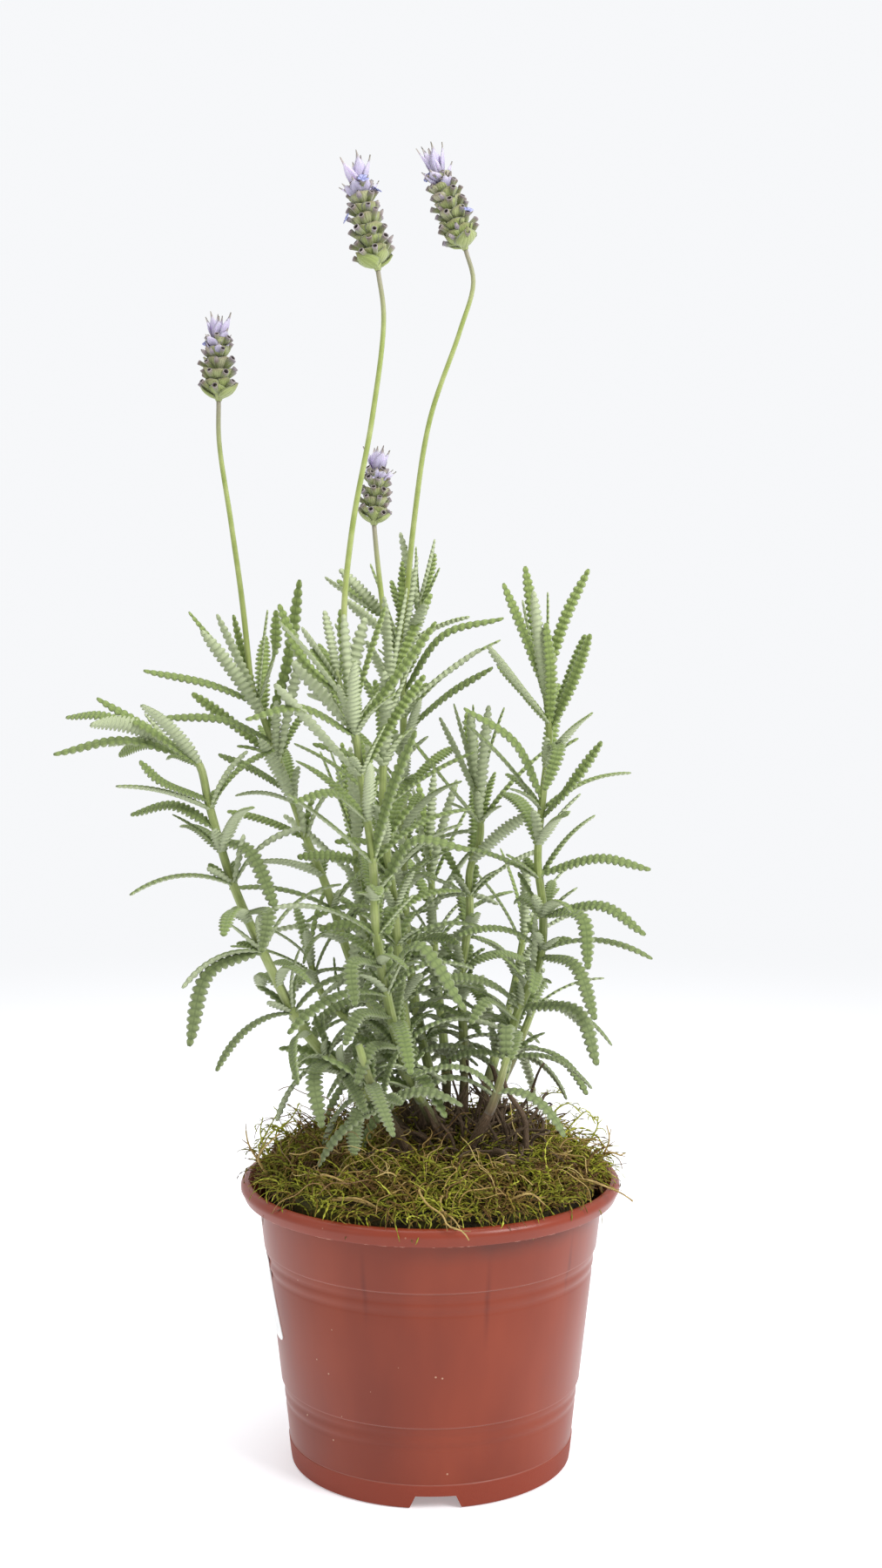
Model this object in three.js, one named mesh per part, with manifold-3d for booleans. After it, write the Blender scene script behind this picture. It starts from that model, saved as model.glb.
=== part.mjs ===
// Potted fringed lavender: a nursery pot of soil and moss that holds a branching, leafy plant with
// four flower spikes. Millimetres, +Z up. The pot's axis is the Z axis while the model is built, and
// the finished group is shifted so that its origin is the bottom centre of the whole object's box.
import * as THREE from 'three';
import { mergeVertices } from 'three/addons/utils/BufferGeometryUtils.js';
import Module from 'manifold-3d';

const wasm = await Module();
wasm.setup();

// ---------------------------------------------------------------- driving dimensions
const GAP = 0.3; // clearance kept between pieces that touch
const STEM_GAP = 0.5; // clearance between the wood, the green stem and the flower stalk in line
const CROWN_CLEARANCE = 0.4; // round the wood where it passes through the moss and the soil

// Pot: a moulded nursery pot with a rolled rim, two steps in its wall and a raised base.
const POT_HEIGHT = 106;
const RIM_RADIUS = 70;
const RIM_OVERHANG = 6.4; // the rim stands out this far from the wall's upper stretch
const RIM_BAND = 6; // height of the rim's lip
const RIM_TOP_WIDTH = 3.5;
const BASE_RADIUS = 52.2; // of the wall's middle stretch, carried on down to the foot
const WALL = 1.5;
const STEP = 0.6; // the wall's upper stretch stands out by this, and its lower stretch is set in
const UPPER_STEP_Z = 81;
const LOWER_STEP_Z = 30.6;
const GROOVE_DEPTH = 0.4;
const GROOVE_WIDTH = 2.6;
const GROOVE_PITCH = 4.6;
const GROOVE_COUNT = 2; // below each step
const BAND_HEIGHT = 8.9; // plain band round the foot
const BAND_RISE = 0.5;
const FOOT_HEIGHT = 3.8; // the base stands this high above the surface
const FLOOR = 2; // thickness of the base
const FOOT_WIDTH = 4;
const NOTCH_COUNT = 3;
const NOTCH_BOTTOM_WIDTH = 20;
const NOTCH_TOP_WIDTH = 14;
const NOTCH_DEPTH = 12; // through the foot, from outside the wall
const NOTCH_ANGLE = -88; // degrees, the notch at the front
const DRAIN_COUNT = 6;
const DRAIN_RADIUS = 5;
const DRAIN_INSET = 19.2; // from the wall at its foot to the middle of each drain hole

// Label: a blank sticker on the wall below the upper step.
const LABEL_THICKNESS = 0.4;
const LABEL_HEIGHT = 30;
const LABEL_TOP_DROP = 1.2; // below the upper step
const LABEL_ANGLES = [128, 199]; // degrees about the pot's axis
const LABEL_STEPS = 24; // flats that follow the wall's curve

// Filling.
const SOIL_DROP = 11; // soil surface below the rim
const MOSS_RISE = 12; // top of the moss mound above the rim
const MOSS_EDGE_DROP = 3; // moss edge below the rim
const MOSS_LUMP = 1.1; // height of the mound's lumps

// Plant.
const WOOD_RADIUS = 2.6;
const STEM_RADIUS = 1.6;
const STALK_RADIUS = 1.05;
const TWIG_RADIUS = 1.3; // side branches
const WOOD_RISE = 30; // the stems are woody up to this height above the rim
const STUMP = { x: 4, y: 4, rise: -15, height: 12, bottomRadius: 9, topRadius: 13 }; // root crown
const NODE_SPACING = 21; // between leaf pairs at a stem's tip
const LOW_SPACING_SHARE = 0.68; // the same at its foot, as a share
const LEAF_LENGTH = 41;
const LEAF_WIDTH = 4.4;
const LEAF_THICKNESS = 1.1;
const LEAF_STATIONS = 3;
const LEAF_LIFT = [38, 58]; // degrees above square to the stem, at a stem's foot and at its tip
const LEAF_CURL = [-60, -8]; // degrees that the lift changes by along a leaf, likewise
const LEAF_DROOP = [0.7, 0.05]; // how much its own weight bends it down, likewise
const LEAF_LENGTH_SHARE = [0.86, 1]; // likewise
const LEAF_WIDTH_SHARE = [1.15, 0.88]; // likewise
const FIRST_LEAF = 5; // up a green stem, and up a side branch
const FIRST_BRANCH_LEAF = 12;
const LEAF_FREE_FROM = 4; // from the stem's middle line, where a leaf is clear of its pair
const TIP_PAIRS = 2; // leaf pairs crowded at a shoot's tip
const TIP_SPACING = 6;
const SPIKE_RADIUS = 5.6;
const SPIKE_WHORLS = 5;
const SPIKE_LENGTH_SHARE = 0.74; // the rest of a head is its crest of coloured bracts
const CREST_BRACTS = 4;
const CREST_BRACT_WIDTH = 4.2;
const CREST_LIFT = 52; // degrees above square to the head's line, at a bract's foot
const CREST_CURL = 34; // degrees that the lift grows by along it
const CREST_CORE = { radius: 1.6, height: 5 };

const POT_SEGMENTS = 32;

const DEGREE = Math.PI / 180;
const UP = new THREE.Vector3(0, 0, 1);
const GOLDEN = 0.6180339887;

// Stem routes, chosen by hand: [x, y, height above the rim]. Each starts at the crown in the soil.
const ROUTES = {
  far_left: [[0, 2, -14], [-5, 0, 10], [-22, -10, 31], [-45, -16, 57], [-59, -16, 84], [-71, -16, 112],
    [-79, -14, 139], [-83, -12, 154], [-90, -10, 159], [-99, -8, 163], [-108, -5, 166]],
  left_flowering: [[2, 6, -14], [-2, 14, 15], [-18, 22, 50], [-30, 26, 75], [-39, 26, 103],
    [-47, 26, 123], [-58, 26, 155], [-67, 26, 180]],
  main_flowering: [[2, -2, -14], [3, -6, 15], [-7, -16, 39], [-13, -22, 60], [-19, -29, 96],
    [-20, -30, 119], [-24, -30, 150], [-28, -30, 180]],
  rear_flowering: [[4, 10, -14], [4, 22, 13], [-3, 25, 45], [-8, 28, 76], [-10, 28, 110],
    [-10, 28, 150], [-10, 28, 197]],
  small_flowering: [[-2, 4, -14], [-3, 5, 15], [-10, 2, 64], [-13, -1, 100], [-17, -6, 135],
    [-16, -6, 165], [-14, -6, 185]],
  right: [[10, 2, -14], [19, 4, 14], [27, -2, 37], [31, -5, 59], [40, -6, 82], [41, -6, 100],
    [39, -6, 118], [41, -6, 144], [43, -6, 164], [41, -6, 183]],
  middle_right: [[8, 8, -14], [12, 22, 12], [13, 28, 35], [12, 30, 69], [15, 30, 92], [15, 30, 109],
    [19, 30, 122], [17, 30, 146]],
  low_left: [[-2, 7, -14], [-10, 22, 20], [-26, 32, 45], [-42, 34, 62], [-47, 34, 78]],
  low_right: [[10, 5, -14], [22, 16, 20], [32, 22, 40], [40, 24, 60]],
  back_left: [[2, 10, -14], [-8, 34, 25], [-20, 52, 60], [-28, 62, 95], [-30, 66, 125]],
  back_middle: [[6, 10, -14], [6, 40, 30], [2, 58, 70], [0, 66, 112]],
  back_right: [[10, 8, -14], [22, 36, 25], [32, 54, 55], [38, 62, 85]],
  front_left: [[1, -3, -14], [-10, -22, 18], [-20, -36, 40], [-25, -42, 58]],
  front_right: [[6, -3, -14], [14, -22, 15], [22, -32, 34], [27, -36, 52]],
};

// Side branches: the shoot that each one leaves, and its route.
const BRANCHES = [
  { shoot: 'main_flowering', route: [[-26, -30, 163], [-30, -18, 176], [-34, -7, 188]] },
  { shoot: 'rear_flowering', route: [[-10, 28, 190], [-15, 31, 203], [-22, 34, 209]] },
  { shoot: 'rear_flowering', route: [[-10, 28, 190], [-5, 32, 203], [-4, 35, 214]] },
];

// Flower stalks: the shoot that each one continues, its route from that shoot's top, and the top of
// its flower head.
const FLOWERS = [
  { name: 'left', shoot: 'left_flowering', top: [-78, 26, 317],
    route: [[-70, 26, 211], [-74, 26, 241], [-78, 26, 270], [-78, 26, 285]] },
  { name: 'main', shoot: 'main_flowering', top: [-27, -20, 367],
    route: [[-30, -28, 205], [-27, -27, 237], [-20, -25, 275], [-16, -22, 310], [-18, -22, 326]] },
  { name: 'rear', shoot: 'rear_flowering', top: [-1, 28, 378],
    route: [[-6, 28, 240], [0, 28, 278], [11, 28, 310], [16, 28, 328], [13, 28, 340]] },
  { name: 'small', shoot: 'small_flowering', top: [-18, -6, 267],
    route: [[-17, -6, 210], [-19, -6, 228], [-20, -6, 239]] },
];

// ---------------------------------------------------------------- materials
const plain = (color, roughness) => new THREE.MeshStandardMaterial({ color, roughness, metalness: 0 });
const potPlastic = () => plain('#974f43', 0.35);
const labelPaper = () => plain('#f2f2f0', 0.5);
const soilEarth = () => plain('#33261d', 0.95);
const mossFelt = () => plain('#6e6a2c', 0.95);
const bark = () => plain('#5d4431', 0.85);
const leafGreen = () => plain('#84935f', 0.75);
const stalkGreen = () => plain('#98a25c', 0.6);
const calyxPurple = () => plain('#8b8291', 0.8);
const crestLilac = () => plain('#a99ac6', 0.7);

// ---------------------------------------------------------------- solids
/** Turns a closed geometry into a solid that can be joined, cut and compared. */
function solid(geometry) {
  const bare = geometry.clone();
  bare.deleteAttribute('normal');
  bare.deleteAttribute('uv');
  const merged = mergeVertices(bare, 1e-4);
  return new wasm.Manifold(new wasm.Mesh({
    numProp: 3,
    vertProperties: new Float32Array(merged.attributes.position.array),
    triVerts: new Uint32Array(merged.index.array),
  }));
}

/** Turns a solid back into a geometry. */
function geometryOf(body) {
  const mesh = body.getMesh();
  const geometry = new THREE.BufferGeometry();
  geometry.setAttribute('position', new THREE.BufferAttribute(mesh.vertProperties, 3));
  geometry.setIndex(new THREE.BufferAttribute(mesh.triVerts, 1));
  geometry.computeVertexNormals();
  return geometry;
}

/** One body from several; edges shorter than the clearance's tenth are taken out of its skin. */
const join = (bodies) => wasm.Manifold.union(bodies).simplify(GAP / 10);

/** A lathed body about Z from a closed [radius, height] outline. */
function lathed(outline, segments = POT_SEGMENTS) {
  const profile = outline.map(([radius, height]) => new THREE.Vector2(radius, height));
  const geometry = new THREE.LatheGeometry(profile, segments);
  geometry.rotateX(Math.PI / 2);
  return geometry;
}

/** Joins equal rings of points, first to last, into one closed skin with a fan on each end. */
function loft(rings) {
  const sides = rings[0].length;
  const points = rings.flat();
  const centre = (ring) => ring.reduce((sum, p) => sum.add(p), new THREE.Vector3()).divideScalar(sides);
  const first = points.push(centre(rings[0])) - 1;
  const last = points.push(centre(rings.at(-1))) - 1;
  const faces = [];
  for (let row = 0; row < rings.length - 1; row += 1) {
    for (let side = 0; side < sides; side += 1) {
      const a = row * sides + side;
      const b = row * sides + (side + 1) % sides;
      faces.push(a, b, b + sides, a, b + sides, a + sides);
    }
  }
  const end = (rings.length - 1) * sides;
  for (let side = 0; side < sides; side += 1) {
    const next = (side + 1) % sides;
    faces.push(first, next, side, last, end + side, end + next);
  }
  const geometry = new THREE.BufferGeometry().setFromPoints(points);
  geometry.setIndex(faces);
  return geometry;
}

/** A round tube of a given radius along a curve. */
function tube(curve, radius, stepLength = 14, sides = 6) {
  const section = new THREE.Shape();
  for (let side = 0; side < sides; side += 1) {
    const angle = (side / sides) * 2 * Math.PI;
    const corner = [radius * Math.cos(angle), radius * Math.sin(angle)];
    if (side === 0) section.moveTo(...corner);
    else section.lineTo(...corner);
  }
  section.closePath();
  const steps = Math.max(2, Math.round(curve.getLength() / stepLength));
  return new THREE.ExtrudeGeometry(section, { steps, extrudePath: curve });
}

const point = ([x, y, rise]) => new THREE.Vector3(x, y, POT_HEIGHT + rise);
const curveThrough = (route) => new THREE.CatmullRomCurve3(route.map(point), false, 'centripetal');

/** The part of a curve between two distances along it. */
function stretch(curve, from, to) {
  const length = curve.getLength();
  const count = Math.max(3, Math.ceil((to - from) / 8));
  const places = Array.from({ length: count + 1 }, (_, i) => (from + ((to - from) * i) / count) / length);
  return new THREE.CatmullRomCurve3(places.map((u) => curve.getPointAt(Math.min(u, 1))));
}

/** How far along a curve it first rises past a height above the rim. */
function distanceToRise(curve, rise) {
  const length = curve.getLength();
  let distance = 0;
  while (distance < length && curve.getPointAt(distance / length).z < POT_HEIGHT + rise) distance += 1;
  return distance;
}

// ---------------------------------------------------------------- pot
const lipBottom = POT_HEIGHT - RIM_BAND;
const rimInnerRadius = RIM_RADIUS - RIM_TOP_WIDTH;
const shoulderRadius = RIM_RADIUS - RIM_OVERHANG - STEP; // of the middle stretch, carried up to the lip
const wallRadius = (z) => BASE_RADIUS + ((shoulderRadius - BASE_RADIUS) * z) / lipBottom;

/** The inside of the wall, which widens into the rim above the lip's lower edge. */
function innerRadius(z) {
  if (z <= lipBottom) return wallRadius(z) - STEP - WALL;
  const below = innerRadius(lipBottom);
  return below + ((rimInnerRadius - below) * (z - lipBottom)) / RIM_BAND;
}

/** The outline of the grooves below a step, from the lowest up. */
function grooves(stepZ, proud) {
  const outline = [];
  for (let groove = GROOVE_COUNT; groove >= 1; groove -= 1) {
    const middle = stepZ - groove * GROOVE_PITCH + GROOVE_WIDTH / 2;
    for (const [rise, depth] of [[-0.5, 0], [0, GROOVE_DEPTH], [0.5, 0]]) {
      const z = middle + rise * GROOVE_WIDTH;
      outline.push([wallRadius(z) + proud - depth, z]);
    }
  }
  return outline;
}

function potBody() {
  const outside = [
    [BASE_RADIUS - STEP - FOOT_WIDTH, 0],
    [wallRadius(0) - STEP + BAND_RISE, 0],
    [wallRadius(BAND_HEIGHT) - STEP + BAND_RISE, BAND_HEIGHT],
    [wallRadius(BAND_HEIGHT) - STEP, BAND_HEIGHT + BAND_RISE],
    ...grooves(LOWER_STEP_Z, -STEP),
    [wallRadius(LOWER_STEP_Z) - STEP, LOWER_STEP_Z],
    [wallRadius(LOWER_STEP_Z), LOWER_STEP_Z + STEP],
    ...grooves(UPPER_STEP_Z, 0),
    [wallRadius(UPPER_STEP_Z), UPPER_STEP_Z],
    [wallRadius(UPPER_STEP_Z) + STEP, UPPER_STEP_Z + STEP],
    [shoulderRadius + STEP, lipBottom],
    [RIM_RADIUS - 1.6, lipBottom],
    [RIM_RADIUS - 0.3, lipBottom + RIM_BAND * 0.35],
    [RIM_RADIUS, lipBottom + RIM_BAND * 0.6],
    [RIM_RADIUS - 0.8, POT_HEIGHT - 0.5],
    [RIM_RADIUS - 1.6, POT_HEIGHT],
  ];
  const inside = [
    [rimInnerRadius, POT_HEIGHT],
    [innerRadius(lipBottom), lipBottom],
    [innerRadius(FOOT_HEIGHT + FLOOR), FOOT_HEIGHT + FLOOR],
    [0, FOOT_HEIGHT + FLOOR],
    [0, FOOT_HEIGHT],
    [BASE_RADIUS - STEP - FOOT_WIDTH - 1, FOOT_HEIGHT],
  ];
  const profile = [...outside, ...inside];
  profile.push(profile[0]);
  let body = solid(lathed(profile));
  for (let i = 0; i < DRAIN_COUNT; i += 1) {
    const hole = new THREE.CylinderGeometry(DRAIN_RADIUS, DRAIN_RADIUS, 4 * FLOOR, 12);
    hole.rotateX(Math.PI / 2);
    hole.translate(BASE_RADIUS - DRAIN_INSET, 0, FOOT_HEIGHT + FLOOR / 2);
    hole.rotateZ(((i + 0.5) / DRAIN_COUNT) * 2 * Math.PI);
    body = body.subtract(solid(hole));
  }
  const outline = new THREE.Shape();
  outline.moveTo(-NOTCH_BOTTOM_WIDTH / 2, -1);
  outline.lineTo(NOTCH_BOTTOM_WIDTH / 2, -1);
  outline.lineTo(NOTCH_TOP_WIDTH / 2, FOOT_HEIGHT - GAP);
  outline.lineTo(-NOTCH_TOP_WIDTH / 2, FOOT_HEIGHT - GAP);
  outline.closePath();
  for (let i = 0; i < NOTCH_COUNT; i += 1) {
    const notch = new THREE.ExtrudeGeometry(outline, { depth: NOTCH_DEPTH, bevelEnabled: false });
    notch.rotateX(Math.PI / 2);
    notch.translate(0, BASE_RADIUS + NOTCH_DEPTH / 3, 0);
    notch.rotateZ((NOTCH_ANGLE - 90) * DEGREE + (i / NOTCH_COUNT) * 2 * Math.PI);
    body = body.subtract(solid(notch));
  }
  return body;
}

function labelBody() {
  const top = UPPER_STEP_Z - LABEL_TOP_DROP;
  const bottom = top - LABEL_HEIGHT;
  const [start, end] = LABEL_ANGLES.map((angle) => angle * DEGREE);
  const rings = [];
  for (let i = 0; i <= LABEL_STEPS; i += 1) {
    const angle = start + ((end - start) * i) / LABEL_STEPS;
    const corner = (z, proud) => {
      const radius = wallRadius(z) + GAP + proud;
      return new THREE.Vector3(radius * Math.cos(angle), radius * Math.sin(angle), z);
    };
    rings.push([corner(top, 0), corner(top, LABEL_THICKNESS), corner(bottom, LABEL_THICKNESS),
      corner(bottom, 0)]);
  }
  return loft(rings);
}

// ---------------------------------------------------------------- filling
const soilTop = POT_HEIGHT - SOIL_DROP;

function soilBody(crown) {
  const floor = FOOT_HEIGHT + FLOOR + GAP;
  const outline = [
    [0, floor],
    [innerRadius(floor) - GAP, floor],
    [innerRadius(soilTop) - GAP, soilTop],
    [0, soilTop],
  ];
  return solid(lathed(outline, 32)).subtract(crown);
}

/** The height of the mound's lumps at a place, nothing at its edge. */
function lump(x, y, share) {
  const waves = Math.sin(x * 0.21 + 1.3) * Math.cos(y * 0.17) + Math.sin(y * 0.29 + x * 0.11 + 0.6);
  return MOSS_LUMP * waves * (1 - share ** 4);
}

function mossBody(crown) {
  const edge = POT_HEIGHT - MOSS_EDGE_DROP;
  const radius = innerRadius(edge) - 2 * GAP;
  const crest = POT_HEIGHT + MOSS_RISE;
  const rings = 5;
  const outline = [
    [0, soilTop + GAP],
    [innerRadius(soilTop) - 2 * GAP, soilTop + GAP],
    [innerRadius(lipBottom) - 2 * GAP, lipBottom],
    [radius, edge],
  ];
  for (let ring = 1; ring < rings; ring += 1) {
    const angle = (ring / rings) * 90 * DEGREE;
    outline.push([radius * Math.cos(angle), edge + (crest - edge) * Math.sin(angle)]);
  }
  outline.push([0, crest]);
  const geometry = lathed(outline, 20);
  const places = geometry.attributes.position;
  for (let i = 0; i < places.count; i += 1) {
    const share = Math.hypot(places.getX(i), places.getY(i)) / radius;
    if (places.getZ(i) > edge + 0.5) {
      places.setZ(i, places.getZ(i) + lump(places.getX(i), places.getY(i), share));
    }
  }
  return solid(geometry).subtract(crown);
}

// ---------------------------------------------------------------- plant
const mix = (a, b, share) => a + (b - a) * share;
/** A steady spread of values from -1 to 1, different for each count. */
const sway = (count) => 2 * ((count * GOLDEN) % 1) - 1;

/** The points along a leaf's arch, each with the direction that it runs in. */
function leafSpine(leaf) {
  const spine = [];
  const place = leaf.base.clone();
  for (let i = 0; i <= LEAF_STATIONS; i += 1) {
    const share = i / LEAF_STATIONS;
    const angle = leaf.lift + leaf.curl * share;
    const direction = leaf.outward.clone().multiplyScalar(Math.cos(angle));
    direction.addScaledVector(leaf.along, Math.sin(angle));
    direction.addScaledVector(UP, -leaf.droop * share);
    direction.normalize();
    spine.push({ place: place.clone(), direction, share });
    place.addScaledVector(direction, leaf.length / LEAF_STATIONS);
  }
  return spine;
}

/**
 * A leaf: a thin blade with a keel, narrow at its base and its tip. It starts on the stem's middle
 * line, or from that line by trimmed. extra makes it fatter all over.
 */
function leafGeometry(leaf, extra = 0, trimmed = 0) {
  const side = new THREE.Vector3().crossVectors(leaf.along, leaf.outward).normalize();
  const spine = leafSpine(leaf);
  spine[0].place.addScaledVector(spine[0].direction, trimmed);
  const rings = spine.map(({ place, direction, share }) => {
    const across = side.clone().addScaledVector(direction, -side.dot(direction)).normalize();
    const above = new THREE.Vector3().crossVectors(direction, across);
    if (above.dot(leaf.along) < 0) above.negate();
    const half = (leaf.width / 2) * (0.42 + 0.58 * Math.sin(Math.PI * (0.08 + 0.86 * share))) + extra;
    const thick = LEAF_THICKNESS * (1 - 0.4 * share) + extra;
    return [
      place.clone().addScaledVector(across, half).addScaledVector(above, extra),
      place.clone().addScaledVector(across, -half).addScaledVector(above, extra),
      place.clone().addScaledVector(above, -thick),
    ];
  });
  const geometry = loft(rings);
  const body = solid(geometry);
  if (body.volume() > 0) return geometry;
  return loft(rings.map((ring) => ring.toReversed()));
}

/** What the leaves keep clear of. free is a leaf's own body without its foot, where its pair meets it. */
const obstacles = [];
const addObstacle = (body, owner, free = null) => {
  obstacles.push({ body, owner, free, box: body.boundingBox() });
};

function boxesMeet(a, b) {
  return [0, 1, 2].every((axis) => a.min[axis] <= b.max[axis] && b.min[axis] <= a.max[axis]);
}

/** Whether a leaf of one shoot is clear of every other shoot, and of the other leaves of its own. */
function isClear(leaf, owner) {
  const whole = solid(leafGeometry(leaf, GAP));
  const free = solid(leafGeometry(leaf, GAP, LEAF_FREE_FROM));
  const box = whole.boundingBox();
  return obstacles.every((obstacle) => {
    if (!boxesMeet(box, obstacle.box)) return true;
    if (obstacle.owner !== owner) return whole.intersect(obstacle.body).isEmpty();
    return obstacle.free === null || free.intersect(obstacle.free).isEmpty();
  });
}

/** Turns and shortens a leaf until it is clear of everything that already stands there. */
function fitLeaf(leaf, owner) {
  for (const length of [1, 0.85, 0.7, 0.55]) {
    for (const turn of [0, 14, -14, 28, -28, 42, -42]) {
      const outward = leaf.outward.clone().applyAxisAngle(leaf.along, turn * DEGREE);
      const tried = { ...leaf, outward, length: leaf.length * length };
      if (isClear(tried, owner)) return tried;
    }
  }
  return null;
}

/** The leaves of one stem: opposite pairs, each pair turned a quarter round, crowded at the tip. */
function leavesAlong(curve, first, seed) {
  const length = curve.getLength();
  const leaves = [];
  const tipStart = length - TIP_PAIRS * TIP_SPACING;
  const places = [];
  const spacingAt = (at) => NODE_SPACING * mix(LOW_SPACING_SHARE, 1, at / length);
  for (let at = first; at < tipStart; at += spacingAt(at)) places.push(at);
  for (let pair = 0; pair < TIP_PAIRS; pair += 1) places.push(tipStart + pair * TIP_SPACING);
  places.forEach((at, node) => {
    const share = at / length;
    const tip = node - (places.length - TIP_PAIRS);
    const along = curve.getTangentAt(share);
    const reference = Math.abs(along.x) < 0.8 ? new THREE.Vector3(1, 0, 0) : new THREE.Vector3(0, 1, 0);
    const outwardX = reference.addScaledVector(along, -reference.dot(along)).normalize();
    for (const half of [0, 1]) {
      const count = seed * 7 + node * 2 + half;
      const turn = node * 90 + half * 180 + 18 * sway(count);
      const outward = outwardX.clone().applyAxisAngle(along, turn * DEGREE);
      const crowded = tip >= 0 ? (tip + 1) / TIP_PAIRS : 0;
      leaves.push({
        base: curve.getPointAt(share),
        along,
        outward,
        lift: (mix(...LEAF_LIFT, share) + 16 * crowded + 7 * sway(count + 3)) * DEGREE,
        curl: mix(...LEAF_CURL, share) * (1 - 0.6 * crowded) * DEGREE,
        droop: mix(...LEAF_DROOP, share) * (1 - crowded),
        length: LEAF_LENGTH * (mix(...LEAF_LENGTH_SHARE, share) - 0.3 * crowded + 0.1 * sway(count + 5)),
        width: LEAF_WIDTH * mix(...LEAF_WIDTH_SHARE, share),
      });
    }
  });
  return leaves;
}

/** The root crown that all the stems grow from, fattened by extra. */
function stumpBody(extra) {
  const { x, y, rise, height, bottomRadius, topRadius } = STUMP;
  const body = new THREE.CylinderGeometry(topRadius + extra, bottomRadius + extra, height + 2 * extra, 14);
  body.rotateX(Math.PI / 2);
  body.translate(x, y, POT_HEIGHT + rise + height / 2);
  return solid(body);
}

const stems = {};
const woods = [stumpBody(0)];
Object.entries(ROUTES).forEach(([name, route]) => {
  const curve = curveThrough(route);
  const split = distanceToRise(curve, WOOD_RISE);
  woods.push(solid(tube(stretch(curve, 0, split), WOOD_RADIUS)));
  const green = stretch(curve, split + STEM_GAP, curve.getLength());
  const branches = BRANCHES.filter(({ shoot }) => shoot === name).map((branch) => curveThrough(branch.route));
  stems[name] = { green, branches };
});
const crown = join(woods);

/** The crown fattened by the clearance, for the hole that it passes through. */
const crownHole = join([stumpBody(CROWN_CLEARANCE), ...Object.values(ROUTES).map((route) => {
  const curve = curveThrough(route);
  return solid(tube(stretch(curve, 0, distanceToRise(curve, WOOD_RISE)), WOOD_RADIUS + CROWN_CLEARANCE));
})]);

const pieces = [];
const add = (name, geometry, material) => pieces.push({ name, geometry, material });

const pot = potBody();
const soil = soilBody(crownHole);
const moss = mossBody(crownHole);
add('pot', geometryOf(pot), potPlastic());
add('blank_label', labelBody(), labelPaper());
add('soil', geometryOf(soil), soilEarth());
add('moss_mat', geometryOf(moss), mossFelt());
add('woody_crown', geometryOf(crown), bark());
for (const body of [pot, moss, crown]) addObstacle(body, 'base');

/** A flower head about a line: a spike of whorls, and the crest of coloured bracts above it. */
function flowerHead(base, top, seed) {
  const axis = top.clone().sub(base);
  const length = axis.length();
  const toHead = new THREE.Quaternion().setFromUnitVectors(UP, axis.clone().normalize());
  const placed = (geometry) => geometry.applyQuaternion(toHead).translate(base.x, base.y, base.z);
  const spikeLength = length * SPIKE_LENGTH_SHARE;
  const outline = [[0, 0]];
  for (let whorl = 0; whorl < SPIKE_WHORLS; whorl += 1) {
    const height = (spikeLength * whorl) / SPIKE_WHORLS;
    const radius = SPIKE_RADIUS * mix(1, 0.75, whorl / (SPIKE_WHORLS - 1));
    outline.push([radius * 0.5, height + 0.2]);
    outline.push([radius, height + (spikeLength / SPIKE_WHORLS) * 0.72]);
  }
  outline.push([0, spikeLength]);
  const spike = placed(lathed(outline, 8));
  const crestBase = spikeLength + GAP;
  const core = new THREE.ConeGeometry(CREST_CORE.radius, CREST_CORE.height, 6);
  core.rotateX(Math.PI / 2).translate(0, 0, crestBase + CREST_CORE.height / 2);
  const crest = [solid(placed(core))];
  for (let bract = 0; bract < CREST_BRACTS; bract += 1) {
    const turn = (bract / CREST_BRACTS) * 2 * Math.PI + seed;
    const leaf = {
      base: new THREE.Vector3(0, 0, crestBase + LEAF_THICKNESS),
      along: UP.clone(),
      outward: new THREE.Vector3(Math.cos(turn), Math.sin(turn), 0),
      lift: CREST_LIFT * DEGREE,
      curl: CREST_CURL * DEGREE,
      droop: 0,
      length: (length - crestBase - LEAF_THICKNESS) * (1 + 0.08 * sway(bract + seed)),
      width: CREST_BRACT_WIDTH,
    };
    crest.push(solid(placed(leafGeometry(leaf))));
  }
  return { spike, crest: geometryOf(join(crest)) };
}

FLOWERS.forEach(({ name, shoot, route, top }, index) => {
  const start = ROUTES[shoot].at(-1);
  const stalkCurve = curveThrough([start, ...route]);
  const stalk = tube(stretch(stalkCurve, STEM_GAP, stalkCurve.getLength()), STALK_RADIUS);
  const end = point(route.at(-1));
  const head = point(top);
  const base = end.clone().addScaledVector(head.clone().sub(end).normalize(), GAP + STALK_RADIUS * 0.4);
  const { spike, crest } = flowerHead(base, head, index);
  add(`flower_stalk_${name}`, stalk, stalkGreen());
  add(`flower_spike_${name}`, spike, calyxPurple());
  add(`crest_bracts_${name}`, crest, crestLilac());
  for (const geometry of [stalk, spike, crest]) addObstacle(solid(geometry), `${name}_flower`);
});

const shootBodies = {};
Object.entries(stems).forEach(([name, { green, branches }]) => {
  const tubes = [solid(tube(green, STEM_RADIUS))];
  for (const branch of branches) tubes.push(solid(tube(branch, TWIG_RADIUS, 10, 5)));
  shootBodies[name] = tubes;
  for (const body of tubes) addObstacle(body, name);
});

let seed = 1;
for (const [name, { green, branches }] of Object.entries(stems)) {
  const all = [...leavesAlong(green, FIRST_LEAF, seed)];
  branches.forEach((branch, i) => all.push(...leavesAlong(branch, FIRST_BRANCH_LEAF, seed + 40 + i)));
  for (const wanted of all) {
    const leaf = fitLeaf(wanted, name);
    if (leaf === null) continue;
    const body = solid(leafGeometry(leaf));
    shootBodies[name].push(body);
    addObstacle(body, name, solid(leafGeometry(leaf, 0, LEAF_FREE_FROM)));
  }
  add(`shoot_${name}`, geometryOf(join(shootBodies[name])), leafGreen());
  seed += 1;
}

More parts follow.
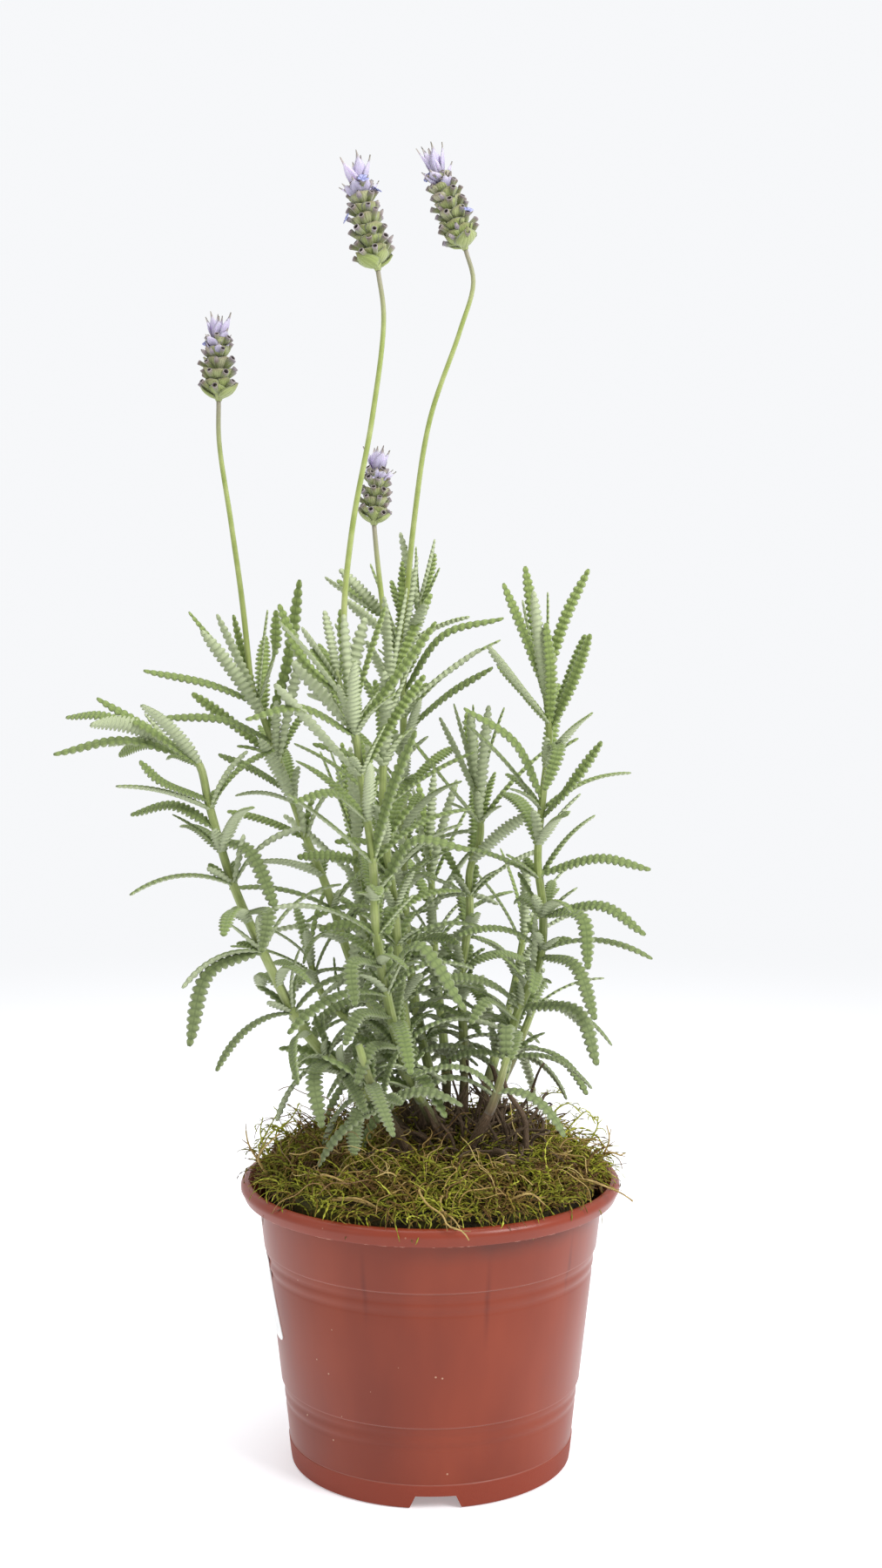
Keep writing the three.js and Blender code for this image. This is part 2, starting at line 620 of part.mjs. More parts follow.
// ---------------------------------------------------------------- assembly
const plant = new THREE.Group();
for (const { name, geometry, material } of pieces) {
  const mesh = new THREE.Mesh(geometry, material);
  mesh.name = name;
  plant.add(mesh);
}
const bounds = new THREE.Box3().setFromObject(plant);
const middle = bounds.getCenter(new THREE.Vector3());
plant.position.set(-middle.x, -middle.y, -bounds.min.z);

export default plant;
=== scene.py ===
# %% [markdown]
# # A potted fringed lavender
# The object is a moulded nursery pot with a mat of moss, and a lavender plant with many toothed
# leaves and four flower spikes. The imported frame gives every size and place; each visible piece is
# modelled again here in finer detail, in metres, and stands for its plain frame node.
# %% Load the frame
import math
import bpy
import numpy as np
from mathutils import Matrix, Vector


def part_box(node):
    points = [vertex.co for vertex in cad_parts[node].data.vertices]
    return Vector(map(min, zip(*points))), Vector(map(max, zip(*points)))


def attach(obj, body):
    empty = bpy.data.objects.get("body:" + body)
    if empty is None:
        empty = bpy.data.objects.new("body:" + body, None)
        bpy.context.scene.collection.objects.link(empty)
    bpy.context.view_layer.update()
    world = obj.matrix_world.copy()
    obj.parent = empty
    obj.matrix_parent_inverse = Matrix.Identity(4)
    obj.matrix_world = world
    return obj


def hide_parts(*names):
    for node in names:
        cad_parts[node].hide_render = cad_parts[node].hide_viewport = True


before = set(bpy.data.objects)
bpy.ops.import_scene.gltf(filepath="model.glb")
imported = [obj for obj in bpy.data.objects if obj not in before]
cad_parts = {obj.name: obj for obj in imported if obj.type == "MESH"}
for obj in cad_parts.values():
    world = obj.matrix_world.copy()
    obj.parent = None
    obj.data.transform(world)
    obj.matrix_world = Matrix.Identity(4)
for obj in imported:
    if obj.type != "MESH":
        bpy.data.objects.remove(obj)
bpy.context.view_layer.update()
bpy.ops.object.select_all(action="DESELECT")
MM = 0.001

# %% [markdown]
# Everything stands on the pot's axis, which the frame gives. Heights on the plant are counted from
# the pot's rim, in millimetres, as they are in the design.
# %% Find the pot's axis and rim
pot_low, pot_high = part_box("pot")
AXIS = np.array([(pot_low.x + pot_high.x) / 2, (pot_low.y + pot_high.y) / 2, 0.0])
RIM_HEIGHT = pot_high.z / MM
RIM_RADIUS = (pot_high.x - pot_low.x) / 2 / MM
print("rim height and radius in mm:", round(RIM_HEIGHT, 1), round(RIM_RADIUS, 1))


def on_plant(points):
    """Places [x, y, height above the rim] in mm, about the pot's axis, as metres in the frame."""
    return np.asarray(points, float) * MM + AXIS + np.array([0, 0, RIM_HEIGHT * MM])


def beside_axis(away, turn, z):
    """A place in metres, at a distance from the pot's axis, a turn round it and a height in mm."""
    return (AXIS[0] + away * MM * math.cos(turn), AXIS[1] + away * MM * math.sin(turn), z * MM)


# %% [markdown]
# Small helpers: one turns a hex colour into the linear numbers that a shader wants, one sets a
# node's inputs, one adds a shader node with its settings and links, and one starts a material.
# %% Helpers for materials
def linear(colour):
    """An sRGB hex colour as linear red, green, blue and alpha."""
    parts = [int(colour[i:i + 2], 16) / 255 for i in (1, 3, 5)]
    return (*(c / 12.92 if c <= 0.04045 else ((c + 0.055) / 1.055) ** 2.4 for c in parts), 1.0)


def set_inputs(node, inputs):
    """Gives each named input a value, a hex colour, or an output to link from."""
    for name, value in inputs.items():
        if isinstance(value, bpy.types.NodeSocket):
            node.id_data.links.new(value, node.inputs[name])
        else:
            node.inputs[name].default_value = linear(value) if isinstance(value, str) else value


def add_node(material, kind, inputs=None, out=0, stops=(), **settings):
    """Adds a shader node and gives back one of its outputs; stops are a colour ramp's."""
    made = material.node_tree.nodes.new("ShaderNode" + kind)
    for name, value in settings.items():
        setattr(made, name, value)
    set_inputs(made, inputs or {})
    for _ in stops[2:]:
        made.color_ramp.elements.new(0.5)
    for number, (place, colour) in enumerate(stops):
        made.color_ramp.elements[number].position = place
        made.color_ramp.elements[number].color = linear(colour)
    return made.outputs[out]


def start_material(name):
    """A new material, its surface shader, and the object's own coordinates."""
    material = bpy.data.materials.new(name)
    material.use_nodes = True
    place = add_node(material, "TexCoord", out="Object")
    return material, material.node_tree.nodes["Principled BSDF"], place


def map_and_tone(material):
    """What lofted pieces carry: the map's values along and across a shape, and its tone."""
    shape = add_node(material, "UVMap", uv_map="shape_map")
    split = add_node(material, "SeparateXYZ", {"Vector": shape}).node.outputs
    return split["X"], split["Y"], add_node(material, "Attribute", out="Fac", attribute_name="tone")


# %% Helpers for pieces
def select_only(piece):
    """Makes a piece the only selected and the active one."""
    bpy.ops.object.select_all(action="DESELECT")
    piece.select_set(True)
    bpy.context.view_layer.objects.active = piece


def finish_piece(piece, name, material, nodes):
    """Names a piece, gives it its finish, and rides it on the one body in place of frame nodes."""
    piece.name = name
    piece.data.name = name
    piece.data.materials.clear()
    piece.data.materials.append(material)
    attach(piece, "root")
    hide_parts(*nodes)
    print(name, len(piece.data.polygons), "faces")


def place_in_scene(name, data, where=(0, 0, 0)):
    """A new object in the scene."""
    made = bpy.data.objects.new(name, data)
    bpy.context.scene.collection.objects.link(made)
    made.location = Vector(where)
    return made


# %% [markdown]
# ## Camera, floor and light
# A potted plant for a catalogue stands on a white sweep between large soft lamps. The camera is a
# 50 mm lens a little under 80 cm away, slightly above the leaves and tilted down by six degrees.
# %% Camera
CAMERA_BACK, CAMERA_UP = 0.788, 0.331
CAMERA_TILT, CAMERA_TURN = 0.101, -0.005
camera_data = bpy.data.cameras.new("camera")
camera_data.lens = 50
camera_data.sensor_width = 36
camera = place_in_scene("camera", camera_data, (AXIS[0], AXIS[1] - CAMERA_BACK, CAMERA_UP))
camera.rotation_euler = (math.pi / 2 - CAMERA_TILT, 0, CAMERA_TURN)
bpy.context.scene.camera = camera
bpy.context.scene.view_settings.view_transform = "Standard"

# %% [markdown]
# The floor is white photographer's card without gloss, so it carries only a soft shadow. Near the
# pot the lamps light it; further off it hands over to the even white of the sweep.
# %% Floor and lamps
SWEEP_WHITE, SWEEP_SEEN, SWEEP_LIGHT, FLOOR_NEAR = "#F9FAFC", 0.98, 0.52, 0.3
CARD_LIT, CARD_LOST = 0.15, 1.1


def matt_card():
    """White card: matt near the pot, fading into the sweep's white further off."""
    material, surface, place = start_material("matt_card")
    away = add_node(material, "VectorMath", {0: place}, "Value", operation="LENGTH")
    far = add_node(material, "MapRange", {"Value": away, "From Min": CARD_LIT,
                                          "From Max": CARD_LOST}, interpolation_type="SMOOTHSTEP")
    set_inputs(surface, {
        "Base Color": add_node(material, "Mix", {"Factor": far, "A": "#F4F5F8", "B": "#000000"},
                               "Result", data_type="RGBA"),
        "Emission Strength": add_node(material, "MapRange", {"Value": far, "To Min": FLOOR_NEAR,
                                                             "To Max": SWEEP_SEEN}),
        "Roughness": 1.0, "Specular IOR Level": 0.0, "Emission Color": SWEEP_WHITE})
    return material


bpy.ops.mesh.primitive_circle_add(vertices=64, radius=9.0, fill_type="NGON", location=(0, 0, 0))
floor = bpy.context.object
floor.name = "floor"
floor.data.materials.append(matt_card())

LAMPS = {"key": ((1.2, -0.9, 1.3), 0.9, 29.5), "fill": ((-1.4, -0.9, 0.9), 1.2, 3),
         "top": ((-0.2, 0.3, 1.9), 1.4, 20)}
for name, (place, size, power) in LAMPS.items():
    data = bpy.data.lights.new(name, "AREA")
    data.shape, data.size, data.energy = "SQUARE", size, power
    lamp = place_in_scene(name, data, place)
    aim = Vector((AXIS[0], AXIS[1], 0.22)) - lamp.location
    lamp.rotation_euler = aim.to_track_quat("-Z", "Y").to_euler()

# %% [markdown]
# The sweep is bright where it is seen and where the pot mirrors it, but it gives less light than
# that to matt surfaces, as a sweep does that stands some way behind its subject.
# %% White sweep
world = bpy.data.worlds.new("white_sweep")
bpy.context.scene.world = world
world.use_nodes = True
diffuse = add_node(world, "LightPath", out="Is Diffuse Ray")
level = add_node(world, "MapRange", {"Value": diffuse, "To Min": SWEEP_SEEN, "To Max": SWEEP_LIGHT})
set_inputs(world.node_tree.nodes["Background"], {"Color": SWEEP_WHITE, "Strength": level})

# %% [markdown]
# ## The pot
# A nursery pot is injection moulded in one piece. On a bench it could be turned; here a circle of
# edges is extruded and scaled ring after ring along the wall's outline, as a potter pulls it up.
# The outline is given as [radius, height] in millimetres, from the middle of the underside, round
# the foot, up the outside, over the rolled rim and down the inside to the floor.
# %% The pot's outline
SIDES = 144
FOOT_RISE, FLOOR, FOOT_BAND = 3.8, 2.0, 8.9
RIM_LIP, WALL, STEP = 6.0, 1.5, 0.6
UPPER_STEP, LOWER_STEP = 81.0, 30.6
FOOT_RADIUS, SHOULDER_RADIUS = 52.2, 63.0
LIP_BOTTOM = RIM_HEIGHT - RIM_LIP


def wall_radius(z):
    """The radius of the wall's middle stretch at a height, in mm."""
    return FOOT_RADIUS + (SHOULDER_RADIUS - FOOT_RADIUS) * z / LIP_BOTTOM


def on_wall(z, proud=0.0):
    """A point of the outline that stands proud of the wall's middle stretch, in mm."""
    return wall_radius(z) + proud, z


def soft_grooves(step_z, proud):
    """Two shallow rounded grooves below a step, from the lowest up."""
    return [on_wall(middle + rise, proud - depth)
            for middle in (step_z - 7.9, step_z - 3.3)
            for rise, depth in ((-1.7, 0), (-0.9, 0.22), (0, 0.38), (0.9, 0.22), (1.7, 0))]


def rolled_rim(size, start, end, count):
    """Points round the top of the rim; angles in degrees from straight out, upwards."""
    turns = [math.radians(start + (end - start) * i / count) for i in range(count + 1)]
    return [(RIM_RADIUS - size + size * math.cos(t), RIM_HEIGHT - size + size * math.sin(t))
            for t in turns]


inner_lip = SHOULDER_RADIUS - STEP - WALL
pot_outline = [
    (FOOT_RADIUS - 5.6, FOOT_RISE), (FOOT_RADIUS - 4.6, 0.4), (FOOT_RADIUS - 4.2, 0.0),
    (FOOT_RADIUS - 1.1, 0.0), (FOOT_RADIUS - 0.3, 0.5),
    on_wall(3.0, 0.35 - STEP), on_wall(8.7, 0.35 - STEP), on_wall(9.0, 0.05 - STEP),
    *soft_grooves(LOWER_STEP, -STEP),
    (wall_radius(LOWER_STEP) - STEP, LOWER_STEP - 0.15),
    (wall_radius(LOWER_STEP) - 0.15, LOWER_STEP + 0.1),
    (wall_radius(LOWER_STEP), LOWER_STEP + 0.5),
    on_wall(55.0),
    *soft_grooves(UPPER_STEP, 0),
    (wall_radius(UPPER_STEP), UPPER_STEP - 0.15),
    (wall_radius(UPPER_STEP) + STEP - 0.15, UPPER_STEP + 0.1),
    (wall_radius(UPPER_STEP) + STEP, UPPER_STEP + 0.5),
    (SHOULDER_RADIUS + STEP, LIP_BOTTOM - 0.6), (SHOULDER_RADIUS + STEP + 0.5, LIP_BOTTOM),
    (RIM_RADIUS - 2.0, LIP_BOTTOM), (RIM_RADIUS - 1.5, LIP_BOTTOM - 0.12),
    (RIM_RADIUS - 1.3, LIP_BOTTOM + 0.15), (RIM_RADIUS - 1.1, LIP_BOTTOM + 0.9),
    *rolled_rim(2.6, -12, 100, 9),
    (RIM_RADIUS - 3.6, RIM_HEIGHT - 0.5), (RIM_RADIUS - 4.2, RIM_HEIGHT - 1.6),
    (inner_lip + 1.2, LIP_BOTTOM), (inner_lip - 0.2, LIP_BOTTOM - 4),
    on_wall(FOOT_RISE + FLOOR, -STEP - WALL),
]
print("outline rings:", len(pot_outline))

# %% Pull the pot up ring by ring
radius, height = pot_outline[0]
bpy.ops.mesh.primitive_circle_add(vertices=SIDES, radius=radius * MM, fill_type="NGON",
                                  location=(AXIS[0], AXIS[1], height * MM))
pot = bpy.context.object
bpy.ops.object.transform_apply(location=True, rotation=False, scale=False)
bpy.ops.object.mode_set(mode="EDIT")
bpy.ops.mesh.select_mode(type="EDGE")
bpy.ops.mesh.select_all(action="SELECT")
for next_radius, next_height in pot_outline[1:]:
    grown, rise = next_radius / radius, (next_height - height) * MM
    bpy.ops.mesh.extrude_edges_move(TRANSFORM_OT_translate={"value": (0, 0, rise)})
    bpy.ops.transform.resize(value=(grown, grown, 1),
                             center_override=(AXIS[0], AXIS[1], next_height * MM))
    radius, height = next_radius, next_height
bpy.ops.mesh.edge_face_add()
bpy.ops.mesh.select_all(action="SELECT")
bpy.ops.mesh.normals_make_consistent(inside=False)
bpy.ops.object.mode_set(mode="OBJECT")

# %% [markdown]
# Six round drain holes go through the base, and three tapered notches through the foot let the
# water out. Each is a simple solid that is cut out of the pot.
# %% Cut the drain holes and the notches in the foot
DRAINS, DRAIN_RADIUS, DRAIN_CIRCLE = 6, 5, 33
NOTCHES, NOTCH_TURN, NOTCH_CIRCLE = 3, math.radians(-88), 50
NOTCH_SIZE, NOTCH_MIDDLE, NOTCH_TAPER = (12, 20.5, 7.0), 1.4, 0.7


def cut_away(cutter):
    """Cuts a solid out of the pot and removes it."""
    select_only(pot)
    cut = pot.modifiers.new("cut", "BOOLEAN")
    cut.object, cut.operation, cut.solver = cutter, "DIFFERENCE", "EXACT"
    bpy.ops.object.modifier_apply(modifier=cut.name)
    bpy.data.objects.remove(cutter)


for count in range(DRAINS):
    turn = 2 * math.pi * (count + 0.5) / DRAINS
    bpy.ops.mesh.primitive_cylinder_add(vertices=24, radius=DRAIN_RADIUS * MM, depth=8 * MM,
                                        location=beside_axis(DRAIN_CIRCLE, turn, 4.8))
    cut_away(bpy.context.object)
for count in range(NOTCHES):
    turn = NOTCH_TURN + 2 * math.pi * count / NOTCHES
    bpy.ops.mesh.primitive_cube_add(size=1, location=(0, 0, 0))
    wedge = bpy.context.object
    bpy.ops.object.mode_set(mode="EDIT")
    bpy.ops.transform.resize(value=[side * MM for side in NOTCH_SIZE])
    bpy.ops.mesh.select_all(action="DESELECT")
    bpy.ops.object.mode_set(mode="OBJECT")
    for vertex in wedge.data.vertices:
        vertex.select = vertex.co.z > 0
    bpy.ops.object.mode_set(mode="EDIT")
    bpy.ops.transform.resize(value=(1, NOTCH_TAPER, 1))
    bpy.ops.object.mode_set(mode="OBJECT")
    wedge.rotation_euler.z = turn
    wedge.location = beside_axis(NOTCH_CIRCLE, turn, NOTCH_MIDDLE)
    cut_away(wedge)
select_only(pot)
bpy.ops.object.shade_smooth_by_angle(angle=math.radians(32))
print("pot faces after cutting:", len(pot.data.polygons))

# %% [markdown]
# The pot is polypropylene, coloured right through, moulded against polished steel and so half
# glossy. Handling leaves it cloudy: faint flow lines run up the wall, the foot band is matt, and
# specks of dried soil stick to it. All of it follows heights and turns about the pot's axis.
# %% Moulded polypropylene
def moulded_polypropylene():
    """Terracotta-coloured plastic: satin gloss, cloudy film, matt foot band, dust, specks, and
    painted highlights on the ledges.
    """
    material, surface, place = start_material("moulded_polypropylene")
    centred = add_node(material, "Mapping", {"Vector": place, "Location": (-AXIS[0], -AXIS[1], 0)})
    split = add_node(material, "SeparateXYZ", {"Vector": centred}).node.outputs

    def near(value, middle, reach, strength):
        """A strength at a value's middle, falling to nothing at its reach from it."""
        off = add_node(material, "Math", {0: value, 1: middle}, operation="SUBTRACT")
        far = add_node(material, "Math", {0: off}, operation="ABSOLUTE")
        return add_node(material, "MapRange", {"Value": far, "From Max": reach, "To Min": strength,
                                               "To Max": 0.0})

    # cloudy handling film: blotches about 25 mm across, stretched up the wall
    tall = add_node(material, "Mapping", {"Vector": centred, "Scale": (1, 1, 0.4)})
    cloud = add_node(material, "TexNoise", {"Vector": tall, "Scale": 34.0, "Detail": 3.0})
    body = add_node(material, "ValToRGB", {"Fac": cloud},
                    stops=[(0.2, "#702C1A"), (0.5, "#7D331E"), (0.8, "#8A3B23")])
    layers = []
    # flow lines: where the melt met itself the wall carries thin darker streaks below the rim
    turn = add_node(material, "Math", {0: split["Y"], 1: split["X"]}, operation="ARCTAN2")
    for angle, low, high in ((-112, 66, 98), (-71, 58, 96), (-37, 70, 98)):
        thin = near(turn, math.radians(angle), 0.022, 0.45)
        tall_as = near(split["Z"], (low + high) / 2 * MM, (high - low) / 2 * MM, 1.4)
        layers.append(("#5C2013", thin, tall_as))
    # grey dust rubbed into the corner under the rim, thickest at the front right
    smudge = add_node(material, "TexNoise", {"Vector": tall, "Scale": 45.0, "Detail": 5.0})
    patchy = add_node(material, "MapRange", {"Value": smudge, "From Min": 0.4, "From Max": 0.75,
                                             "To Max": 0.8})
    to_right = add_node(material, "MapRange", {"Value": split["X"], "From Min": -0.02,
                                               "From Max": 0.04, "To Min": 0.25, "To Max": 1.0})
    dusty = add_node(material, "Math", {0: patchy, 1: to_right}, operation="MULTIPLY")
    layers.append(("#4E3A34", dusty, near(split["Z"], 98.5 * MM, 7.5 * MM, 1.0)))
    # pale dust lies on each ledge of the wall, and a painted highlight along it where the ledge
    # faces up
    for middle, reach, strength in ((UPPER_STEP, 0.5, 0.32), (LOWER_STEP, 0.5, 0.3),
                                    (FOOT_BAND + 0.05, 0.35, 0.3)):
        layers.append(("#B98A7E", near(split["Z"], middle * MM, reach * MM, strength), 1.0))
    # specks of dried soil half a millimetre across, few and scattered
    speck = add_node(material, "TexVoronoi", {"Vector": centred, "Scale": 200.0})
    close = add_node(material, "Math", {0: speck, 1: 0.07}, operation="LESS_THAN")
    chance = add_node(material, "TexNoise", {"Vector": centred, "Scale": 70.0})
    few = add_node(material, "Math", {0: chance, 1: 0.585}, operation="GREATER_THAN")
    layers.append(("#B08A72", close, few))
    # the foot band and the lip were cut from a dull part of the mould: warmer and matt
    foot = add_node(material, "Math", {0: split["Z"], 1: FOOT_BAND * MM}, operation="LESS_THAN")
    lip = add_node(material, "Math", {0: split["Z"], 1: LIP_BOTTOM * MM - 0.0002},
                   operation="GREATER_THAN")
    dull = add_node(material, "Math", {0: foot, 1: lip}, operation="MAXIMUM")
    layers.append(("#863521", dull, 0.6))
    # each layer lies over those before it, by the product of its two amounts
    for colour, first, second in layers:
        amount = add_node(material, "Math", {0: first, 1: second}, operation="MULTIPLY")
        body = add_node(material, "Mix", {"Factor": amount, "A": body, "B": colour}, "Result",
                        data_type="RGBA")
    gloss = add_node(material, "MapRange", {"Value": cloud, "From Min": 0.15, "From Max": 0.85,
                                            "To Min": 0.26, "To Max": 0.38})
    duller = add_node(material, "Math", {0: foot, 1: 0.28}, operation="MULTIPLY")
    # a fine grain on the dull parts
    grain = add_node(material, "TexNoise", {"Vector": centred, "Scale": 2200.0})
    grit = add_node(material, "Math", {0: grain, 1: foot}, operation="MULTIPLY")
    set_inputs(surface, {
        "Base Color": body, "IOR": 1.49, "Specular IOR Level": 0.32,
        "Roughness": add_node(material, "Math", {0: gloss, 1: duller}, operation="ADD"),
        "Normal": add_node(material, "Bump", {"Height": grit, "Strength": 0.3,
                                              "Distance": 0.0002})})
    return material


finish_piece(pot, "nursery_pot", moulded_polypropylene(), ["pot"])

# %% [markdown]
# ## Lofted shapes
# Leaves, stems, bracts and moss fronds are all one kind of shape: a closed outline that is carried
# along a line while it turns and changes size. A bundle gathers many of them into one mesh, with a
# map that counts along and across each shape, and a tone that tells young growth from old.
# %% Lines
UP = np.array([0.0, 0.0, 1.0])


def mix(low, high, share):
    """The value at a share of the way from low to high."""
    return low + (high - low) * share


def unit(vectors):
    """Vectors scaled to length one."""
    return vectors / np.maximum(np.linalg.norm(vectors, axis=-1, keepdims=True), 1e-12)


def distances(line):
    """How far along a line each of its points lies."""
    return np.concatenate([[0], np.cumsum(np.linalg.norm(np.diff(line, axis=0), axis=1))])


def at_places(places, known, points):
    """The points of a line at some places, where the places of its own points are known."""
    return np.stack([np.interp(places, known, points[:, axis]) for axis in range(3)], axis=-1)


def smooth_line(route, step):
    """A smooth line through given points, as points at even steps along it."""
    knots = np.asarray(route, float)
    knots = np.vstack([2 * knots[0] - knots[1], knots, 2 * knots[-1] - knots[-2]])
    line = []
    for four in zip(knots, knots[1:], knots[2:], knots[3:]):
        t = np.cumsum([0] + [np.linalg.norm(b - a) ** 0.5 for a, b in zip(four, four[1:])])
        for at in np.linspace(t[1], t[2], 24, endpoint=False):
            p = four
            for reach in (1, 2):
                p = [((t[i + reach] - at) * p[i] + (at - t[i]) * p[i + 1]) / (t[i + reach] - t[i])
                     for i in range(len(p) - 1)]
            line.append(((t[2] - at) * p[0] + (at - t[1]) * p[1]) / (t[2] - t[1]))
    line = np.array(line + [knots[-2]])
    gone = distances(line)
    return at_places(np.linspace(0, gone[-1], max(2, int(round(gone[-1] / step)) + 1)), gone, line)


def ways_of(turn, tilt):
    """Directions from a turn about the upright and a tilt above the level."""
    level = np.cos(tilt)
    return np.stack([np.cos(turn) * level, np.sin(turn) * level, np.sin(tilt)], axis=1)


def carried_frame(line, start=(1.0, 0.3, 0.0)):
    """Two cross directions at each point of a line, carried along it without spinning."""
    ways = unit(np.gradient(line, axis=0))
    across = [np.array(start)]
    for way in ways:
        across.append(unit(across[-1] - way * np.dot(across[-1], way)))
    return np.array(across[1:]), np.cross(ways, across[1:])


# %% Bundles of lofted shapes
class Bundle:
    """Closed lofted shapes in millimetres, gathered to make one mesh."""

    def __init__(self):
        self.points, self.faces, self.maps, self.tones, self.count = [], [], [], [], 0

    def add(self, rings, along, across, tone):
        """Adds a shape: its rings of points, and the map's values along and round it."""
        rows, sides = rings.shape[:2]
        base = self.count
        for row in range(rows - 1):
            for side in range(sides):
                a, b = base + row * sides + side, base + row * sides + (side + 1) % sides
                self.faces.append((a, b, b + sides, a + sides))
                left, right, near, far = across[side], across[side + 1], along[row], along[row + 1]
                self.maps.extend((near, left, near, right, far, right, far, left))
        for row, order in ((0, range(sides - 1, -1, -1)), (rows - 1, range(sides))):
            self.faces.append(tuple(base + row * sides + side for side in order))
            self.maps.extend((along[row], 0.5) * sides)
        self.points.append(rings.reshape(-1, 3))
        self.tones.append(np.full(rows * sides, tone))
        self.count += rows * sides

    def make(self):
        """The mesh piece, in metres on the pot's axis."""
        mesh = bpy.data.meshes.new("bundle")
        mesh.from_pydata(on_plant(np.concatenate(self.points)).tolist(), [], self.faces)
        mesh.validate()
        mesh.polygons.foreach_set("use_smooth", [True] * len(mesh.polygons))
        mesh.uv_layers.new(name="shape_map").data.foreach_set("uv", self.maps)
        tone = mesh.attributes.new("tone", "FLOAT", "POINT")
        tone.data.foreach_set("value", np.concatenate(self.tones))
        return place_in_scene("bundle", mesh)


def add_tube(bundle, line, radii, sides=8, tone=0.5, corner=0.0):
    """A tube along a line in mm; corner gives it four soft edges, as a square stem has."""
    across, above = carried_frame(line)
    turn = np.arange(sides) * 2 * math.pi / sides
    reach = np.broadcast_to(radii, len(line))[:, None] * (1 + corner * np.cos(4 * turn))
    rings = line[:, None] + reach[..., None] * (
        np.cos(turn)[:, None] * across[:, None] + np.sin(turn)[:, None] * above[:, None])
    bundle.add(rings, distances(line) / 10, np.arange(sides + 1) / sides, tone)


# %% [markdown]
# ## The soil
# Potting soil is dark peat. A disc is extruded down from a circle, and its top is divided and
# roughened. It shows only in the gaps by the rim.
# %% Soil
random = np.random.default_rng(7)


def divided_disc(radius, top, sides, insets, inset, drop, narrow):
    """A thick disc: its top is inset ring by ring, and its edge is pulled down and narrowed."""
    bpy.ops.mesh.primitive_circle_add(vertices=sides, radius=radius, fill_type="NGON",
                                      location=(AXIS[0], AXIS[1], top))
    disc = bpy.context.object
    bpy.ops.object.transform_apply(location=True, rotation=False, scale=False)
    bpy.ops.object.mode_set(mode="EDIT")
    bpy.ops.mesh.select_all(action="SELECT")
    for _ in range(insets):
        bpy.ops.mesh.inset(thickness=inset)
    bpy.ops.mesh.select_all(action="DESELECT")
    bpy.ops.mesh.select_mode(type="EDGE")
    bpy.ops.object.mode_set(mode="OBJECT")
    away = [axis_distance(vertex.co) for vertex in disc.data.vertices]
    for edge in disc.data.edges:
        edge.select = all(away[i] > radius - 1e-5 for i in edge.vertices)
    bpy.ops.object.mode_set(mode="EDIT")
    bpy.ops.mesh.extrude_edges_move(TRANSFORM_OT_translate={"value": (0, 0, -drop)})
    bpy.ops.transform.resize(value=(narrow, narrow, 1), center_override=tuple(AXIS))
    bpy.ops.mesh.edge_face_add()
    bpy.ops.mesh.select_all(action="SELECT")
    bpy.ops.mesh.normals_make_consistent(inside=False)
    bpy.ops.object.mode_set(mode="OBJECT")
    return disc


def axis_distance(place):
    """How far a place lies from the pot's axis, in metres."""
    return math.hypot(place.x - AXIS[0], place.y - AXIS[1])


soil_low, soil_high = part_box("soil")
soil_radius = (soil_high.x - soil_low.x) / 2 - 0.0003
soil = divided_disc(soil_radius, soil_high.z, 96, 11, 0.0048, soil_high.z - soil_low.z - 0.0005,
                    (SHOULDER_RADIUS - 12.5) / (soil_radius / MM))
for vertex in soil.data.vertices:
    if vertex.co.z > soil_high.z - 1e-5 and axis_distance(vertex.co) < soil_radius - 1e-4:
        vertex.co.z += random.uniform(-0.0008, 0.0012)


def rough_finish(name, patches, stops, grain, strength, coarse, roughness):
    """A dull, rough natural finish: patches take a ramp of colours, and a grain is its relief."""
    material, surface, place = start_material(name)
    patch = add_node(material, "TexNoise", {"Vector": place, **patches})
    relief = add_node(material, "TexNoise", {"Vector": place, **grain}) if grain else patch
    set_inputs(surface, {
        "Base Color": add_node(material, "ValToRGB", {"Fac": patch}, stops=stops),
        "Normal": add_node(material, "Bump", {"Height": relief, "Strength": strength,
                                              "Distance": coarse}),
        "Roughness": roughness})
    return material


# damp potting peat: nearly black-brown, rough, with lighter fibres
peat = rough_finish("peat", {"Scale": 500.0, "Detail": 6.0},
                    [(0.3, "#17100B"), (0.55, "#2E2117"), (0.8, "#5A4430")], None, 0.9, 0.001, 0.95)
finish_piece(soil, "potting_soil", peat, ["soil"])

# %% [markdown]
# ## The moss
# A mat of feather moss covers the soil. It is a low mound first; thousands of small fronds then lie
# and curl over it. A frond is a flat toothed blade that is bent along its length, so a few dozen
# faces give its feathery edge. Growing them on a surface with a hair system is the other way, but
# hair does not leave Blender as a mesh.
# %% The mound under the fronds
moss_low, moss_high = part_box("moss_mat")
MOSS_RADIUS = (moss_high.x - moss_low.x) / 2 / MM
MOSS_EDGE, MOSS_CREST = -0.4, 10.5


def mound_height(x, y):
    """The height of the mound above the rim at a place in mm: domed, lumpy and low at its edge."""
    share = np.clip(np.hypot(x, y) / MOSS_RADIUS, 0, 1)
    lumps = (np.sin(x * 0.21 + 1.3) * np.cos(y * 0.17) + np.sin(y * 0.29 + x * 0.11 + 0.6)
             + 0.6 * np.sin(x * 0.47 - y * 0.39) + 0.5 * np.cos(x * 0.33 + y * 0.61 + 2.0))
    return mix(MOSS_EDGE, MOSS_CREST, (1 - share ** 3.2) ** 0.6) + 1.5 * lumps * (1 - share ** 6)


